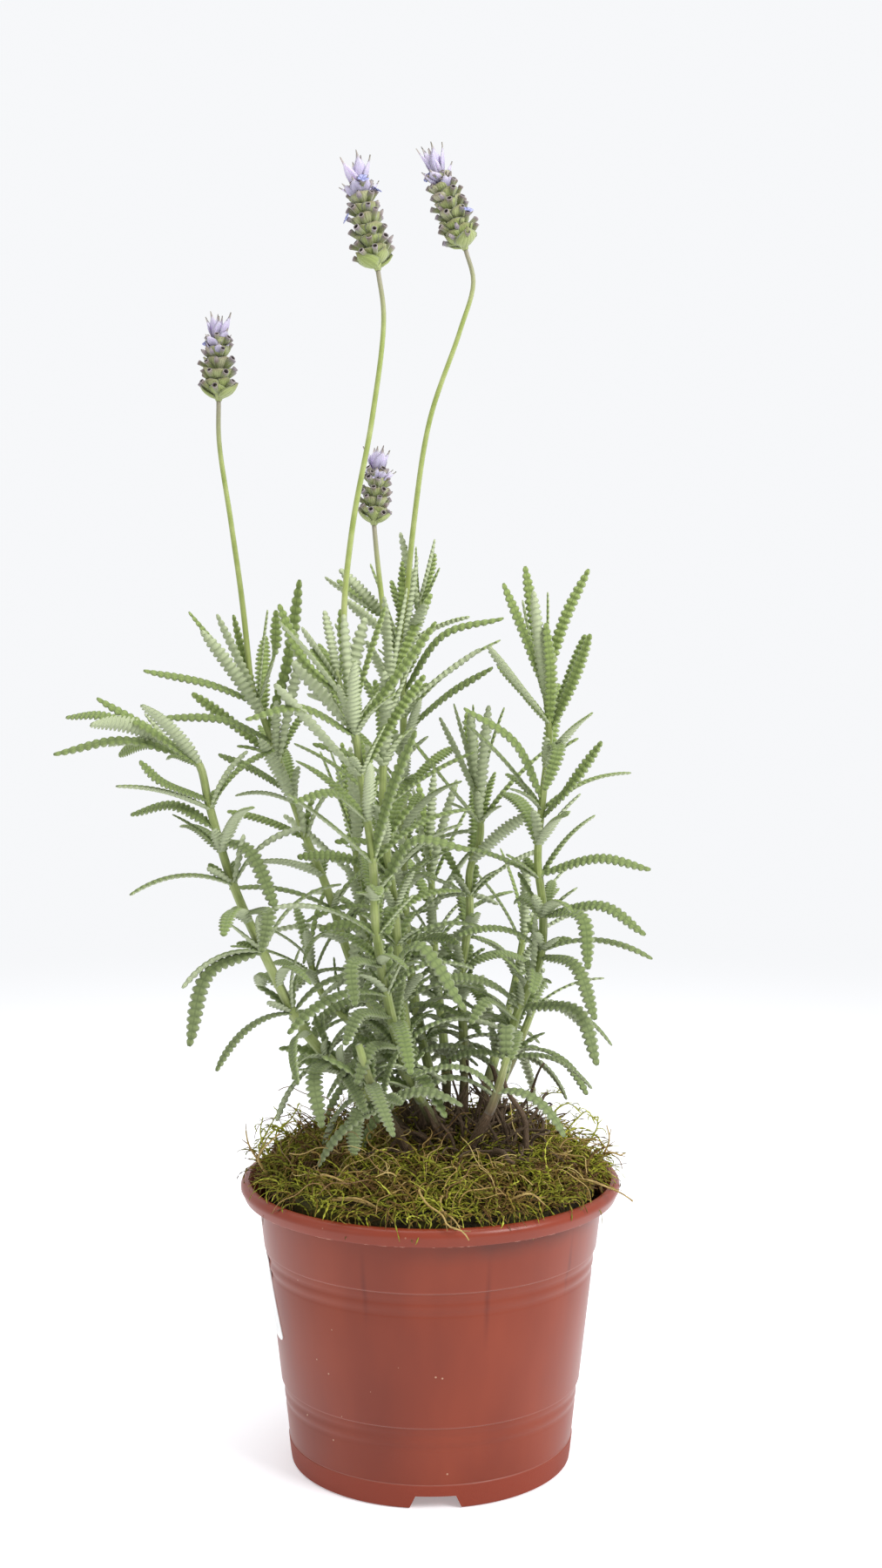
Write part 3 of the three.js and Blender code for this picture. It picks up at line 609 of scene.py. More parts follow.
mound = divided_disc((MOSS_RADIUS - 0.8) * MM, (RIM_HEIGHT + MOSS_EDGE) * MM, 72, 17, 0.0035,
                     0.0068, 0.94)
for vertex in mound.data.vertices:
    x, y = (vertex.co.x - AXIS[0]) / MM, (vertex.co.y - AXIS[1]) / MM
    if vertex.co.z > (RIM_HEIGHT + MOSS_EDGE - 1) * MM:
        height = (RIM_HEIGHT + float(mound_height(x, y))) * MM
        vertex.co.z = height + random.uniform(-0.0006, 0.0006)
bpy.ops.object.shade_smooth()
# the shaded old moss below the fronds: olive and brown, dull and deeply rough
moss_felt = rough_finish("moss_felt", {"Scale": 90.0, "Detail": 5.0},
                         [(0.35, "#2B2310"), (0.5, "#3F3A16"), (0.68, "#54531D")],
                         {"Scale": 700.0, "Detail": 3.0}, 1.0, 0.0015, 1.0)
finish_piece(mound, "moss_mound", moss_felt, ["moss_mat"])


# %% Fronds of feather moss
def moss_frond(bundle, foot, heading, rise, length, width, tone):
    """One frond: it leaves its foot along a heading, lifts by an angle, and curls over."""
    share = np.linspace(0, 1, 13)
    curl, nod = random.uniform(-4.2, 4.2), random.uniform(0.6, 2.6)
    ways = ways_of(heading + curl * share, rise - nod * share)
    line = foot + np.vstack([np.zeros(3), np.cumsum(ways[:-1], axis=0)]) * length / 12
    across, above = carried_frame(line, (-math.sin(heading), math.cos(heading), 0.2))
    teeth = np.where(np.arange(13) % 2 == 1, 1.0, 0.2)
    half = across * (width / 2 * teeth * (1 - 0.75 * share ** 1.5))[:, None]
    ridge = above * (0.16 * width * (1 - 0.6 * share))[:, None]
    rings = np.stack([line + half, line + ridge, line - half], axis=1)
    bundle.add(rings, share, (0, 0.5, 1, 2), tone)


def strewn_place(spread):
    """A place on the mound at a share of its radius: x, y, and the turn round the axis."""
    away, where = MOSS_RADIUS * spread, random.uniform(0, 2 * math.pi)
    return away * math.cos(where), away * math.sin(where), where


def strew_fronds(bundle, count):
    """Strews many fronds over the mound, most of them lying down."""
    for number in range(count):
        inner = number % 3
        spread = math.sqrt(random.uniform(0, 1)) * 0.985 if inner else random.uniform(0.86, 0.995)
        x, y, where = strewn_place(spread)
        foot = np.array([x, y, mound_height(x, y) + random.uniform(-1.0, 1.6)])
        edge, low = spread > 0.8, spread > 0.92
        heading = random.uniform(0, 2 * math.pi)
        # fronds by the rim run round it or inwards, and the outermost lie low against the wall
        if edge:
            heading = where + math.pi * random.choice([0.6, -0.6, 1.0]) + random.uniform(-0.5, 0.5)
        if low:
            heading = where + math.pi * random.choice([0.54, -0.54]) + random.uniform(-0.15, 0.3)
            foot[2] -= 0.7
        patch = 0.5 + 0.5 * math.sin(x * 0.13 + 1.0) * math.cos(y * 0.11 - 0.6)
        tone = float(np.clip(0.1 + 0.55 * patch + random.normal(0, 0.27), 0, 1))
        clear = number % 12 == 0 and not edge
        rise = random.uniform(0.9, 1.5) if clear else random.uniform(0.2, 0.9 if low else 1.3)
        length = random.uniform(14, 24) if clear else random.uniform(8, 20)
        moss_frond(bundle, foot, heading, rise, length, random.uniform(1.0, 2.1),
                   min(1.0, tone + 0.35 * clear))


# green wisps that stand clear at the rim, led through listed places in mm
WISPS = [
    ([-56, 2, 3], [-61, 2, 9], [-63, 2, 15], [-62, 2, 21]),
    ([-58, -4, 3], [-62, -5, 10], [-58, -4, 17], [-53, -3, 19]),
    ([-60, 6, 4], [-64, 6, 8], [-61, 6, 14], [-56, 6, 23]),
    ([-55, 12, 4], [-58, 12, 12], [-52, 12, 18], [-49, 12, 24]),
    ([44, 30, 7], [47, 30, 15], [53, 30, 19], [58, 30, 15]),
    ([50, 26, 7], [56, 26, 14], [60, 26, 17], [63, 26, 12]),
    ([56, 14, 4], [61, 14, 10], [63, 14, 16], [59, 14, 19]),
    ([40, 34, 9], [42, 34, 18], [46, 34, 22], [52, 34, 22]),
    ([60, 4, 3], [64, 4, 8], [62, 4, 13], [57, 4, 14]),
]


def grow_wisps(bundle):
    """Adds the wisps: thin green stems with short fronds left and right."""
    for route in WISPS:
        line = smooth_line(route, 1.6)
        add_tube(bundle, line, np.linspace(0.42, 0.2, len(line)), sides=5, tone=0.82)
        for at in range(2, len(line) - 1):
            moss_frond(bundle, line[at], random.uniform(0, 2 * math.pi), random.uniform(0.2, 1.2),
                       random.uniform(2.5, 5.5), random.uniform(0.9, 1.4), random.uniform(0.6, 1.0))


# %% [markdown]
# Dead stems and grass lie in the moss: thin curled straws over the fronds, and some that stand
# clear or hang over the rim. Living moss runs from dry brown to bright yellow-green; the straws are
# straw yellow to brown, with a faint silky gloss.
# %% Straws and moss finishes
CLEAR_STRAWS = [
    ([-58, -14, 2], [-62, -20, 12], [-54, -24, 22]), ([-60, -8, 3], [-66, -12, 14], [-67, -14, 20]),
    ([-36, -36, 6], [-38, -46, 13], [-31, -50, 12], [-26, -44, 6]),
    ([-34, -50, 5], [-26, -54, 6], [-18, -57, 4], [-10, -60, 1]),
    ([-32, -51, 6], [-24, -56, 7], [-16, -58, 3], [-13, -61, 0]),
    ([60, 0, 3], [64, -2, 8], [66, -3, 14], [65, -3, 19]),
    ([64, -2, 8], [67, -3, 9], [70, -4, 8], [72, -4, 9]),
    ([50, -24, 5], [57, -30, 6], [64, -29, 3], [68, -33, 2.2], [72, -33, -0.5]),
    ([0, -48, 6], [-4, -55, 10], [-1, -62, 7], [4, -66, 4.5], [6, -70, 2], [11, -71.5, 0.4],
     [13, -72.2, -2.4]),
    ([4, -48, 6], [9, -44, 11], [18, -48, 9], [24, -56, 4]),
    ([8, -52, 6], [4, -56, 8], [4, -62, 5], [8, -67, 3.2], [10, -70.6, 1.2]),
    ([24, -50, 3], [34, -56, 9], [40, -50, 3]),
]


def strew_straws(bundle, count):
    """Strews curled straws over the mound."""
    share = np.linspace(0, 1, 13)
    for number in range(count):
        spread = math.sqrt(random.uniform(0.02, 1)) * 0.94
        x, y, where = strewn_place(spread)
        heading = random.uniform(0, 2 * math.pi)
        if spread > 0.8 and number % 6:
            heading = where + math.pi * random.uniform(0.6, 1.4)
        turn = (heading + random.normal(0, 2.4) * share
                + random.uniform(-0.8, 0.8) * np.sin(share * 9))
        tilt = (random.uniform(0.1, 1.1) - random.uniform(0.4, 2.0) * share
                + 0.3 * np.sin(share * 11))
        foot = np.array([x, y, mound_height(x, y) + random.uniform(0, 2)])
        line = foot + np.cumsum(ways_of(turn, tilt), axis=0) * random.uniform(12, 34) / 13
        thick = random.uniform(0.16, 0.34)
        add_tube(bundle, line, thick * np.linspace(1, 0.5, 13), sides=4, tone=random.uniform(0, 1))


def toned_moss(name, patches, shift, stops, settings):
    """Moss or straw: its tone runs through a ramp of colours and strays by patches."""
    material, surface, place = start_material(name)
    tone = map_and_tone(material)[2]
    patch = add_node(material, "TexNoise", {"Vector": place, "Scale": patches, "Detail": 2.0})
    stray = add_node(material, "MapRange", {"Value": patch, "To Min": -shift, "To Max": shift})
    mixed = add_node(material, "Math", {0: tone, 1: stray}, operation="ADD", use_clamp=True)
    set_inputs(surface, {"Base Color": add_node(material, "ValToRGB", {"Fac": mixed}, stops=stops),
                         **settings})
    return material


straws = Bundle()
strew_straws(straws, 520)
for route in CLEAR_STRAWS:
    line = smooth_line(route, 2.0)
    add_tube(straws, line, np.linspace(0.5, 0.24, len(line)), sides=6, tone=0.7)
    for at in range(3, len(line) - 1, 2):
        way = unit(line[at] - line[at - 1] + random.normal(0, 0.7, 3))
        twig = line[at] + way * np.linspace(0, random.uniform(2, 5), 4)[:, None]
        add_tube(straws, twig, [0.2, 0.18, 0.15, 0.1], sides=4, tone=0.4)
dry_straw = toned_moss(
    "dry_straw", 300.0, 0.3, [(0.0, "#5A3E22"), (0.3, "#7E5F35"), (0.6, "#A68A4C"),
                              (1.0, "#C8B271")], {"Roughness": 0.55})
finish_piece(straws.make(), "dry_straws", dry_straw, ["moss_mat"])
feather_moss = toned_moss(
    "feather_moss", 220.0, 0.25, [(0.0, "#5E4422"), (0.22, "#85702F"), (0.45, "#727422"),
                                  (0.7, "#9B9C2C"), (1.0, "#C6C852")],
    {"Roughness": 0.8, "Specular IOR Level": 0.25})
for part in ("a", "b"):
    fronds = Bundle()
    strew_fronds(fronds, 2300)
    if part == "b":
        grow_wisps(fronds)
    finish_piece(fronds.make(), "moss_fronds_" + part, feather_moss, ["moss_mat"])

# %% [markdown]
# ## The leaf
# The leaves of this lavender are narrow straps whose edges are cut into about eighteen round lobes
# a side. The midrib lies in a channel, the lobes puff up on both sides of it, and the edges roll
# under. One flat leaf is pulled from a six-cornered outline, ring after ring, three rings to a
# lobe; every leaf on the plant is a copy that is bent along its own arch. Small side leaves use a
# shorter master with fewer lobes.
# %% Leaf masters
LEAF_SECTION = [(1.0, -0.16), (0.52, 0.13), (0.0, -0.07), (-0.52, 0.13), (-1.0, -0.16),
                (0.0, -0.38)]
LEAF_ACROSS = (0.0, 0.25, 0.5, 0.75, 1.0, 1.5, 2.0)
LOBE_RINGS = [(0.6, 0.78), (0.97, 1.0), (1.0, 0.98)]


def outline_width(share):
    """A leaf's half width along its length, as a share of its widest."""
    opening = 0.5 + 0.5 * math.sin(math.pi / 2 * min(1.0, share / 0.3))
    return opening * math.sqrt(1 - (max(0.0, share - 0.58) / 0.43) ** 2.2)


def pulled_rings(section, widths):
    """The rings of a shape one long, pulled from an outline by [place, width, depth] steps."""
    bpy.ops.mesh.primitive_circle_add(vertices=len(section), radius=1, fill_type="NOTHING",
                                      location=(0, 0, 0))
    shape = bpy.context.object
    place, wide, deep = widths[0]
    for vertex, (across, above) in zip(shape.data.vertices, section):
        vertex.co = (place, across * wide, above * deep)
    bpy.ops.object.mode_set(mode="EDIT")
    bpy.ops.mesh.select_mode(type="EDGE")
    bpy.ops.mesh.select_all(action="SELECT")
    for next_place, next_wide, next_deep in widths[1:]:
        step = (next_place - place, 0, 0)
        bpy.ops.mesh.extrude_edges_move(TRANSFORM_OT_translate={"value": step})
        bpy.ops.transform.resize(value=(1, next_wide / wide, next_deep / deep),
                                 center_override=(0, 0, 0))
        place, wide, deep = next_place, next_wide, next_deep
    bpy.ops.object.mode_set(mode="OBJECT")
    places = np.array([vertex.co for vertex in shape.data.vertices])
    bpy.data.objects.remove(shape)
    order = np.argsort(np.round(places[:, 0], 5), kind="stable")
    rings = places[order].reshape(-1, len(section), 3)
    # an extruded ring's points may come in another order, so each is found again by its angle
    flat = np.array(section)
    wanted = np.arctan2(flat[:, 1] - flat[:, 1].mean(), flat[:, 0])
    for i, ring in enumerate(rings):
        wide, deep = np.abs(ring[:, 1]).max(), ring[:, 2].min() / flat[:, 1].min()
        found = np.arctan2(ring[:, 2] / deep - flat[:, 1].mean(), ring[:, 1] / wide)
        rings[i] = ring[[int(np.argmin(np.abs(np.angle(np.exp(1j * (found - angle))))))
                         for angle in wanted]]
    return rings


def leaf_master(lobes):
    """A flat leaf with a number of lobes to each side."""
    count = lobes * len(LOBE_RINGS)
    widths = []
    for ring in range(count + 1):
        lobe_wide, lobe_deep = LOBE_RINGS[ring % len(LOBE_RINGS)]
        width = outline_width(ring / count)
        widths.append((ring / count, width * (lobe_wide if ring < count else 0.9),
                       width ** 0.5 * lobe_deep))
    return {"rings": pulled_rings(LEAF_SECTION, widths),
            "along": np.arange(count + 1) / len(LOBE_RINGS), "across": LEAF_ACROSS}


LEAF_LONG, LEAF_MIDDLE, LEAF_SMALL = leaf_master(18), leaf_master(13), leaf_master(7)
print("leaf master rings:", [len(m["rings"]) for m in (LEAF_LONG, LEAF_MIDDLE, LEAF_SMALL)])


# %% Bend a leaf along its arch
def carried(master, line, across, above, width):
    """The rings of a flat master, carried to the points of a line between two cross directions."""
    flat = master["rings"] * width / 2
    return line[:, None] + across[:, None] * flat[:, :, 1:2] + above[:, None] * flat[:, :, 2:]


def add_bent(bundle, master, base, along, outward, lift, curl, length, width, tone, droop=0.0,
             sway=0.0, twist=0.0):
    """Adds a copy of a flat master, in mm, bent along the arch that it takes from its stem."""
    share = master["rings"][:, 0, :1]
    side = unit(np.cross(along, outward))
    angle = lift + curl * share
    ways = unit(outward * np.cos(angle) + along * np.sin(angle) - UP * (droop * share)
                + side * (sway * share))
    steps = np.diff(share, axis=0) * length
    line = base + np.vstack([np.zeros(3), np.cumsum((ways[:-1] + ways[1:]) / 2 * steps, axis=0)])
    across = unit(side - ways * (ways @ side)[:, None])
    above = np.cross(ways, across)
    turn = twist * share
    rings = carried(master, line, across * np.cos(turn) + above * np.sin(turn),
                    above * np.cos(turn) - across * np.sin(turn), width)
    bundle.add(rings, master["along"], master["across"], tone)
    return rings


def add_leaf(bundle, length, **arch):
    """Adds a bent leaf to a bundle, from the master whose lobes suit its length."""
    master = LEAF_LONG if length > 34 else LEAF_MIDDLE if length > 21 else LEAF_SMALL
    add_bent(bundle, master, length=length, **arch)


def add_led_leaf(bundle, route, tone):
    """Adds a leaf that follows a route, its upper face turned up and to the front."""
    path, share = smooth_line(route, 0.5), LEAF_LONG["rings"][:, 0, 0]
    line = at_places(share, np.linspace(0, 1, len(path)), path)
    ways = unit(np.gradient(line, share, axis=0))
    across = unit(np.cross(FACING, ways))
    rings = carried(LEAF_LONG, line, across, np.cross(ways, across), mix(6.6, 5.0, tone))
    bundle.add(rings, LEAF_LONG["along"], LEAF_ACROSS, tone)


# %% [markdown]
# ## The stems and shoots
# Each shoot follows a listed route, the same one that its plain frame node follows. A stem is square
# with soft corners, woody below and green above, and tapers to its tip. Leaves stand in opposite
# pairs, each pair turned a quarter round from the last. Small leaves sprout in the leaf corners, and
# the tip ends in a tuft of upright young leaves. Low leaves arch over and hang; high ones are
# straighter and greener.
# %% Routes of the shoots
ROUTES = {
    "far_left": [[0, 2, -14], [-5, 0, 10], [-22, -10, 31], [-45, -16, 57], [-59, -16, 84],
                 [-71, -16, 112], [-79, -14, 139], [-83, -12, 154], [-90, -10, 159], [-99, -8, 163],
                 [-108, -5, 166]],
    "left_flowering": [[2, 6, -14], [-2, 14, 15], [-18, 22, 50], [-30, 26, 75], [-39, 26, 103],
                       [-47, 26, 123], [-58, 26, 155], [-67, 26, 180]],
    "main_flowering": [[2, -2, -14], [3, -6, 15], [-7, -16, 39], [-13, -22, 60], [-19, -29, 96],
                       [-20, -30, 119], [-24, -30, 150], [-28, -30, 180]],
    "rear_flowering": [[4, 10, -14], [4, 22, 13], [-3, 25, 45], [-8, 28, 76], [-10, 28, 110],
                       [-10, 28, 150], [-10, 28, 197]],
    "small_flowering": [[-2, 4, -14], [-3, 5, 15], [-10, 2, 64], [-13, -1, 100], [-17, -6, 135],
                        [-16, -6, 165], [-14, -6, 185]],
    "right": [[10, 2, -14], [19, 4, 14], [27, -2, 37], [31, -5, 59], [40, -6, 82], [41, -6, 100],
              [39, -6, 118], [41, -6, 144], [43, -6, 164], [41, -6, 183]],
    "middle_right": [[8, 8, -14], [12, 22, 12], [13, 28, 35], [12, 30, 69], [15, 30, 92],
                     [15, 30, 109], [19, 30, 122], [17, 30, 146]],
    "low_left": [[-2, 7, -14], [-10, 22, 20], [-26, 32, 45], [-42, 34, 62], [-47, 34, 78]],
    "low_right": [[10, 5, -14], [22, 16, 20], [32, 22, 40], [40, 24, 60]],
    "back_left": [[2, 10, -14], [-8, 34, 25], [-20, 52, 60], [-28, 62, 95], [-30, 66, 125]],
    "back_middle": [[6, 10, -14], [6, 40, 30], [2, 58, 70], [0, 66, 112]],
    "back_right": [[10, 8, -14], [22, 36, 25], [32, 54, 55], [38, 62, 85]],
    "front_left": [[1, -3, -14], [-10, -22, 18], [-20, -36, 40], [-25, -42, 58]],
    "front_right": [[6, -3, -14], [14, -22, 15], [22, -32, 34], [27, -36, 52]],
}
BRANCHES = [
    ("main_flowering", [[-26, -30, 163], [-30, -18, 176], [-34, -7, 188]]),
    ("rear_flowering", [[-10, 28, 190], [-15, 31, 203], [-22, 34, 209]]),
    ("rear_flowering", [[-10, 28, 190], [-5, 32, 203], [-4, 35, 214]]),
]
WOOD_RISE, STEM_RADIUS, TIP_RADIUS, FIRST_LEAF = 30, 1.8, 1.2, 4
# leaves that stand clear of the rest: the rise on the stem where each starts, two places it is led
# through, and its tone
CLEAR_LEAVES = {
    "right": [
        (113, [61, -14, 120], [79, -16, 116], 0.4), (99, [62, -16, 103], [77, -20, 93], 0.35),
        (99, [54, -24, 100], [56, -28, 82], 0.35), (82, [52, -20, 82], [59, -24, 63], 0.2),
        (65, [53, -18, 65], [60, -22, 46], 0.1), (133, [49, -14, 145], [61, -16, 162], 0.6),
        (165, [50, -10, 181], [57, -12, 200], 0.8), (168, [32, -10, 181], [24, -12, 189], 0.8),
        (180, [33, -12, 202], [26, -14, 218], 0.9), (182, [37, -6, 207], [34, -6, 224], 1.0),
        (182, [49, -4, 207], [57, -2, 223], 1.0), (166, [43, -12, 187], [41, -16, 204], 0.9),
        (141, [30, -14, 162], [12, -18, 174], 0.6), (160, [45, -24, 160], [40, -30, 146], 0.5),
        (60, [20, -24, 70], [14, -30, 63], 0.2), (50, [27, -26, 61], [27, -30, 45], 0.1)],
    "far_left": [
        (153, [-98, -20, 166], [-117, -24, 178], 0.6),
        (157, [-109, -20, 163], [-133, -22, 158], 0.5),
        (163, [-117, -10, 171], [-131, -6, 170], 0.6),
        (140, [-95, -24, 149], [-102, -26, 156], 0.5),
        (131, [-92, -12, 139], [-108, -8, 135], 0.4), (86, [-79, -22, 80], [-86, -26, 54], 0.1),
        (100, [-57, -34, 103], [-59, -38, 90], 0.1), (127, [-64, -24, 124], [-54, -28, 103], 0.2),
        (47, [-41, -34, 45], [-38, -40, 28], 0.1)],
    "left_flowering": [
        (172, [-82, 16, 181], [-105, 10, 186], 0.6), (159, [-77, 14, 168], [-99, 8, 169], 0.5),
        (141, [-67, 16, 150], [-78, 12, 155], 0.4), (172, [-57, 10, 194], [-56, 6, 208], 0.7),
        (164, [-53, 20, 189], [-48, 16, 219], 0.7)],
    "main_flowering": [
        (166, [-45, -42, 176], [-63, -46, 172], 0.6), (135, [-34, -46, 147], [-47, -50, 144], 0.5),
        (83, [-27, -42, 87], [-26, -48, 73], 0.2), (64, [-25, -38, 68], [-30, -42, 58], 0.1),
        (53, [-21, -38, 56], [-26, -42, 44], 0.1), (168, [-12, -34, 186], [2, -34, 205], 0.8),
        (178, [-43, -34, 191], [-52, -36, 211], 0.8), (122, [-13, -40, 149], [-5, -44, 168], 0.5),
        (105, [-6, -36, 129], [14, -38, 126], 0.4), (79, [-4, -40, 93], [12, -44, 71], 0.3)],
    "rear_flowering": [
        (177, [5, 18, 199], [27, 14, 205], 0.7), (163, [8, 16, 178], [23, 12, 187], 0.6)],
    "front_left": [(33, [-25, -34, 33], [-27, -40, 18], 0.0)],
}
FACING = np.array([0.0, -0.55, 0.85])
print("shoots:", len(ROUTES), "leaves led by hand:", sum(map(len, CLEAR_LEAVES.values())))

# %% Clothe a stem with leaves
TIP_GAP = 3.4


def degrees(low, high):
    """A random angle between two in degrees, as radians."""
    return math.radians(random.uniform(low, high))


def clothe(bundle, line, ages, tip_pairs=3, size=1.0, start=FIRST_LEAF):
    """Adds the leaf pairs, side leaves and tip tuft of one stem; ages tells old from young."""
    length = distances(line)[-1]
    gone = np.linspace(0, length, len(line))
    tip_start = length - tip_pairs * TIP_GAP
    nodes, distance = [], start
    while distance < tip_start - 5:
        nodes.append((distance, 0))
        distance += mix(9.8, 16.0, min(1.0, distance / length * 1.25)) * random.uniform(0.85, 1.12)
    nodes += [(tip_start + pair * TIP_GAP, pair + 1) for pair in range(tip_pairs)]
    first_turn = random.uniform(-25, 25)
    for number, (distance, tip) in enumerate(nodes):
        along = unit(at_places(distance, gone, unit(np.gradient(line, axis=0))))
        stem = {"base": at_places(distance, gone, line), "along": along}
        reference = np.array([1.0, 0, 0]) if abs(along[0]) < 0.8 else np.array([0, 1.0, 0])
        out_x = unit(reference - along * np.dot(reference, along))
        out_y = np.cross(along, out_x)
        share = mix(*ages, distance / length)
        for half in (0, 1):
            turn = math.radians(first_turn + number * 90 + half * 180 + random.uniform(-20, 20))
            outward = out_x * math.cos(turn) + out_y * math.sin(turn)
            tone = float(np.clip(share + random.normal(0, 0.14), 0, 1))
            if tip:
                crowded, old = tip / tip_pairs, max(0.0, 1 - share * 1.6)
                add_leaf(bundle, **stem, tone=min(1.0, tone + 0.25 * crowded), outward=outward,
                         lift=math.radians(mix(58, 80, crowded) - 26 * old) + degrees(-7, 7),
                         curl=degrees(-14, 8) - math.radians(62 * old), droop=0.5 * old,
                         length=(size * mix(45, 34, crowded) * mix(1, 0.8, old)
                                 * random.uniform(0.85, 1.1)),
                         width=mix(5.4, 4.2, crowded), sway=random.uniform(-0.15, 0.15),
                         twist=random.uniform(-0.4, 0.4))
                continue
            add_leaf(bundle, **stem, tone=tone, outward=outward,
                     lift=math.radians(mix(30, 58, share ** 0.8)) + degrees(-9, 9),
                     curl=math.radians(mix(-72, -2, share ** 0.8)) + degrees(-14, 14),
                     droop=max(0.0, mix(0.85, -0.15, share) + random.uniform(-0.15, 0.2)),
                     length=size * mix(36, 44, share) * random.uniform(0.8, 1.12),
                     width=mix(6.4, 5.6, share) * random.uniform(0.92, 1.08),
                     sway=random.uniform(-0.3, 0.3), twist=random.uniform(-0.9, 0.9))
            if random.uniform() < 0.56:
                for lean in (-1, 1):
                    aside = turn + lean * degrees(28, 60)
                    add_leaf(bundle, **stem, tone=min(1.0, tone + 0.12),
                             outward=out_x * math.cos(aside) + out_y * math.sin(aside),
                             lift=degrees(48, 74), curl=degrees(-45, 0),
                             droop=max(0.0, mix(0.4, 0.0, share)),
                             length=size * random.uniform(10, 27), width=random.uniform(3.7, 5.1),
                             sway=random.uniform(-0.3, 0.3), twist=random.uniform(-0.6, 0.6))


def add_green_stem(bundle, line, low_radius, high_radius, tone):
    """Adds a square green stem that tapers towards its tip."""
    radii = mix(low_radius, high_radius, np.linspace(0, 1, len(line)))
    add_tube(bundle, line, radii, tone=tone, corner=0.09)


# %% [markdown]
# Leaf and stem have the same felted surface. A lavender leaf is covered in fine branched hairs, so
# it looks grey-green and soft: matt, with a pale sheen at grazing angles, paler still on its rolled
# edges and beneath. Painted shade darkens it a little down the midrib and between the lobes.
# %% Felted leaf
def felted_leaf():
    """Grey-green felt of fine hairs over green tissue: matt, pale at the lobes' rims."""
    material, surface, place = start_material("felted_leaf")
    along, across, tone = map_and_tone(material)
    fresh = add_node(material, "ValToRGB", {"Fac": tone}, stops=[
        (0.0, "#7F8B5E"), (0.35, "#7F8F56"), (0.7, "#839552"), (1.0, "#8FA15B")])
    # felt lies thicker on some parts than on others: patches about 4 mm across
    patch = add_node(material, "TexNoise", {"Vector": place, "Scale": 260.0, "Detail": 3.0})
    hairs = add_node(material, "TexNoise", {"Vector": place, "Scale": 3200.0, "Detail": 2.0})
    # how far from the midrib: nothing at the midrib, a half at the rolled edge, more beneath
    off = add_node(material, "Math", {0: across, 1: 0.5}, operation="SUBTRACT")
    wide = add_node(material, "Math", {0: off}, operation="ABSOLUTE")
    edge = add_node(material, "MapRange", {"Value": wide, "From Min": 0.33, "From Max": 0.5})
    under = add_node(material, "Math", {0: across, 1: 1.02}, operation="GREATER_THAN")
    # painted shade in the valley between two lobes: dark where the count along the leaf is whole
    wave = add_node(material, "Math", {0: along, 1: 2 * math.pi}, operation="MULTIPLY")
    cosine = add_node(material, "Math", {0: wave}, operation="COSINE")
    lobe_gap_shade = add_node(material, "MapRange", {"Value": cosine, "From Min": 0.1, "From Max": 1.0})
    # painted shade also darkens the midrib's channel
    inner = add_node(material, "MapRange", {"Value": wide, "From Min": 0.08, "From Max": 0.0})
    painted_shade_mask = add_node(material, "Math", {0: lobe_gap_shade, 1: inner}, operation="MAXIMUM")
    # the painted shade is laid over the leaf's colour as a dark green
    shade = add_node(material, "Math", {0: painted_shade_mask, 1: 0.42}, operation="MULTIPLY")
    top = add_node(material, "Mix", {"Factor": shade, "A": fresh, "B": "#3F4E30"}, "Result",
                   data_type="RGBA")
    pale = add_node(material, "MapRange", {"Value": patch, "From Min": 0.35, "From Max": 0.7,
                                           "To Min": 0.25, "To Max": 0.62})
    felt = add_node(material, "Math", {0: edge, 1: pale}, operation="MULTIPLY")
    beneath = add_node(material, "Math", {0: under, 1: 0.62}, operation="MULTIPLY")
    cover = add_node(material, "Math", {0: felt, 1: beneath}, operation="MAXIMUM")
    ridge = add_node(material, "Bump", {"Height": cosine, "Strength": 0.5, "Distance": 0.0005},
                     invert=True)
    set_inputs(surface, {
        "Base Color": add_node(material, "Mix", {"Factor": cover, "A": top, "B": "#CAD1B2"},
                               "Result", data_type="RGBA"),
        "Normal": add_node(material, "Bump", {"Height": hairs, "Strength": 0.35,
                                              "Distance": 0.0002, "Normal": ridge}),
        "Roughness": 0.75, "Specular IOR Level": 0.3, "Sheen Weight": 0.25,
        "Sheen Roughness": 0.5, "Sheen Tint": "#DDE3D0"})
    return material


def green_stem_skin():
    """A young square stem: yellow-green, faintly ribbed; short old shoots are brown low down."""
    material, surface, place = start_material("green_stem_skin")
    _, across, tone = map_and_tone(material)
    ribs = add_node(material, "Math", {0: across, 1: 16 * math.pi}, operation="MULTIPLY")
    rib = add_node(material, "Math", {0: ribs}, operation="COSINE")
    patch = add_node(material, "TexNoise", {"Vector": place, "Scale": 180.0, "Detail": 4.0})
    green = add_node(material, "ValToRGB", {"Fac": patch},
                     stops=[(0.3, "#7F8D48"), (0.5, "#93A05C"), (0.72, "#A5AF72")])
    height = add_node(material, "SeparateXYZ", {"Vector": place}, "Z")
    low = add_node(material, "MapRange", {
        "Value": height, "From Min": (RIM_HEIGHT + WOOD_RISE) * MM,
        "From Max": (RIM_HEIGHT + WOOD_RISE + 24) * MM, "To Min": 0.95, "To Max": 0.0})
    old = add_node(material, "Math", {0: 1.0, 1: tone}, operation="SUBTRACT")
    brown = add_node(material, "Math", {0: low, 1: old}, operation="MULTIPLY")
    set_inputs(surface, {
        "Base Color": add_node(material, "Mix", {"Factor": brown, "A": green, "B": "#6B5140"},
                               "Result", data_type="RGBA"),
        "Normal": add_node(material, "Bump", {"Height": rib, "Strength": 0.3, "Distance": 0.0002}),
        "Roughness": 0.6, "Sheen Weight": 0.3})
    return material


leaf_finish, stem_finish = felted_leaf(), green_stem_skin()
print("finishes:", leaf_finish.name, stem_finish.name)

# %% Grow the shoots
# how old a shoot's lowest and highest leaves look: 0 is grey and arching, 1 is fresh and upright
AGES = {"low_left": (0.0, 0.35), "low_right": (0.0, 0.3), "front_left": (0.05, 0.3),
        "front_right": (0.1, 0.25), "back_right": (0.0, 0.5), "far_left": (0.0, 0.75)}
TUFTS = {"far_left": 0, "right": 2, "front_left": 0, "front_right": 0, "low_right": 2,
         "back_right": 3}
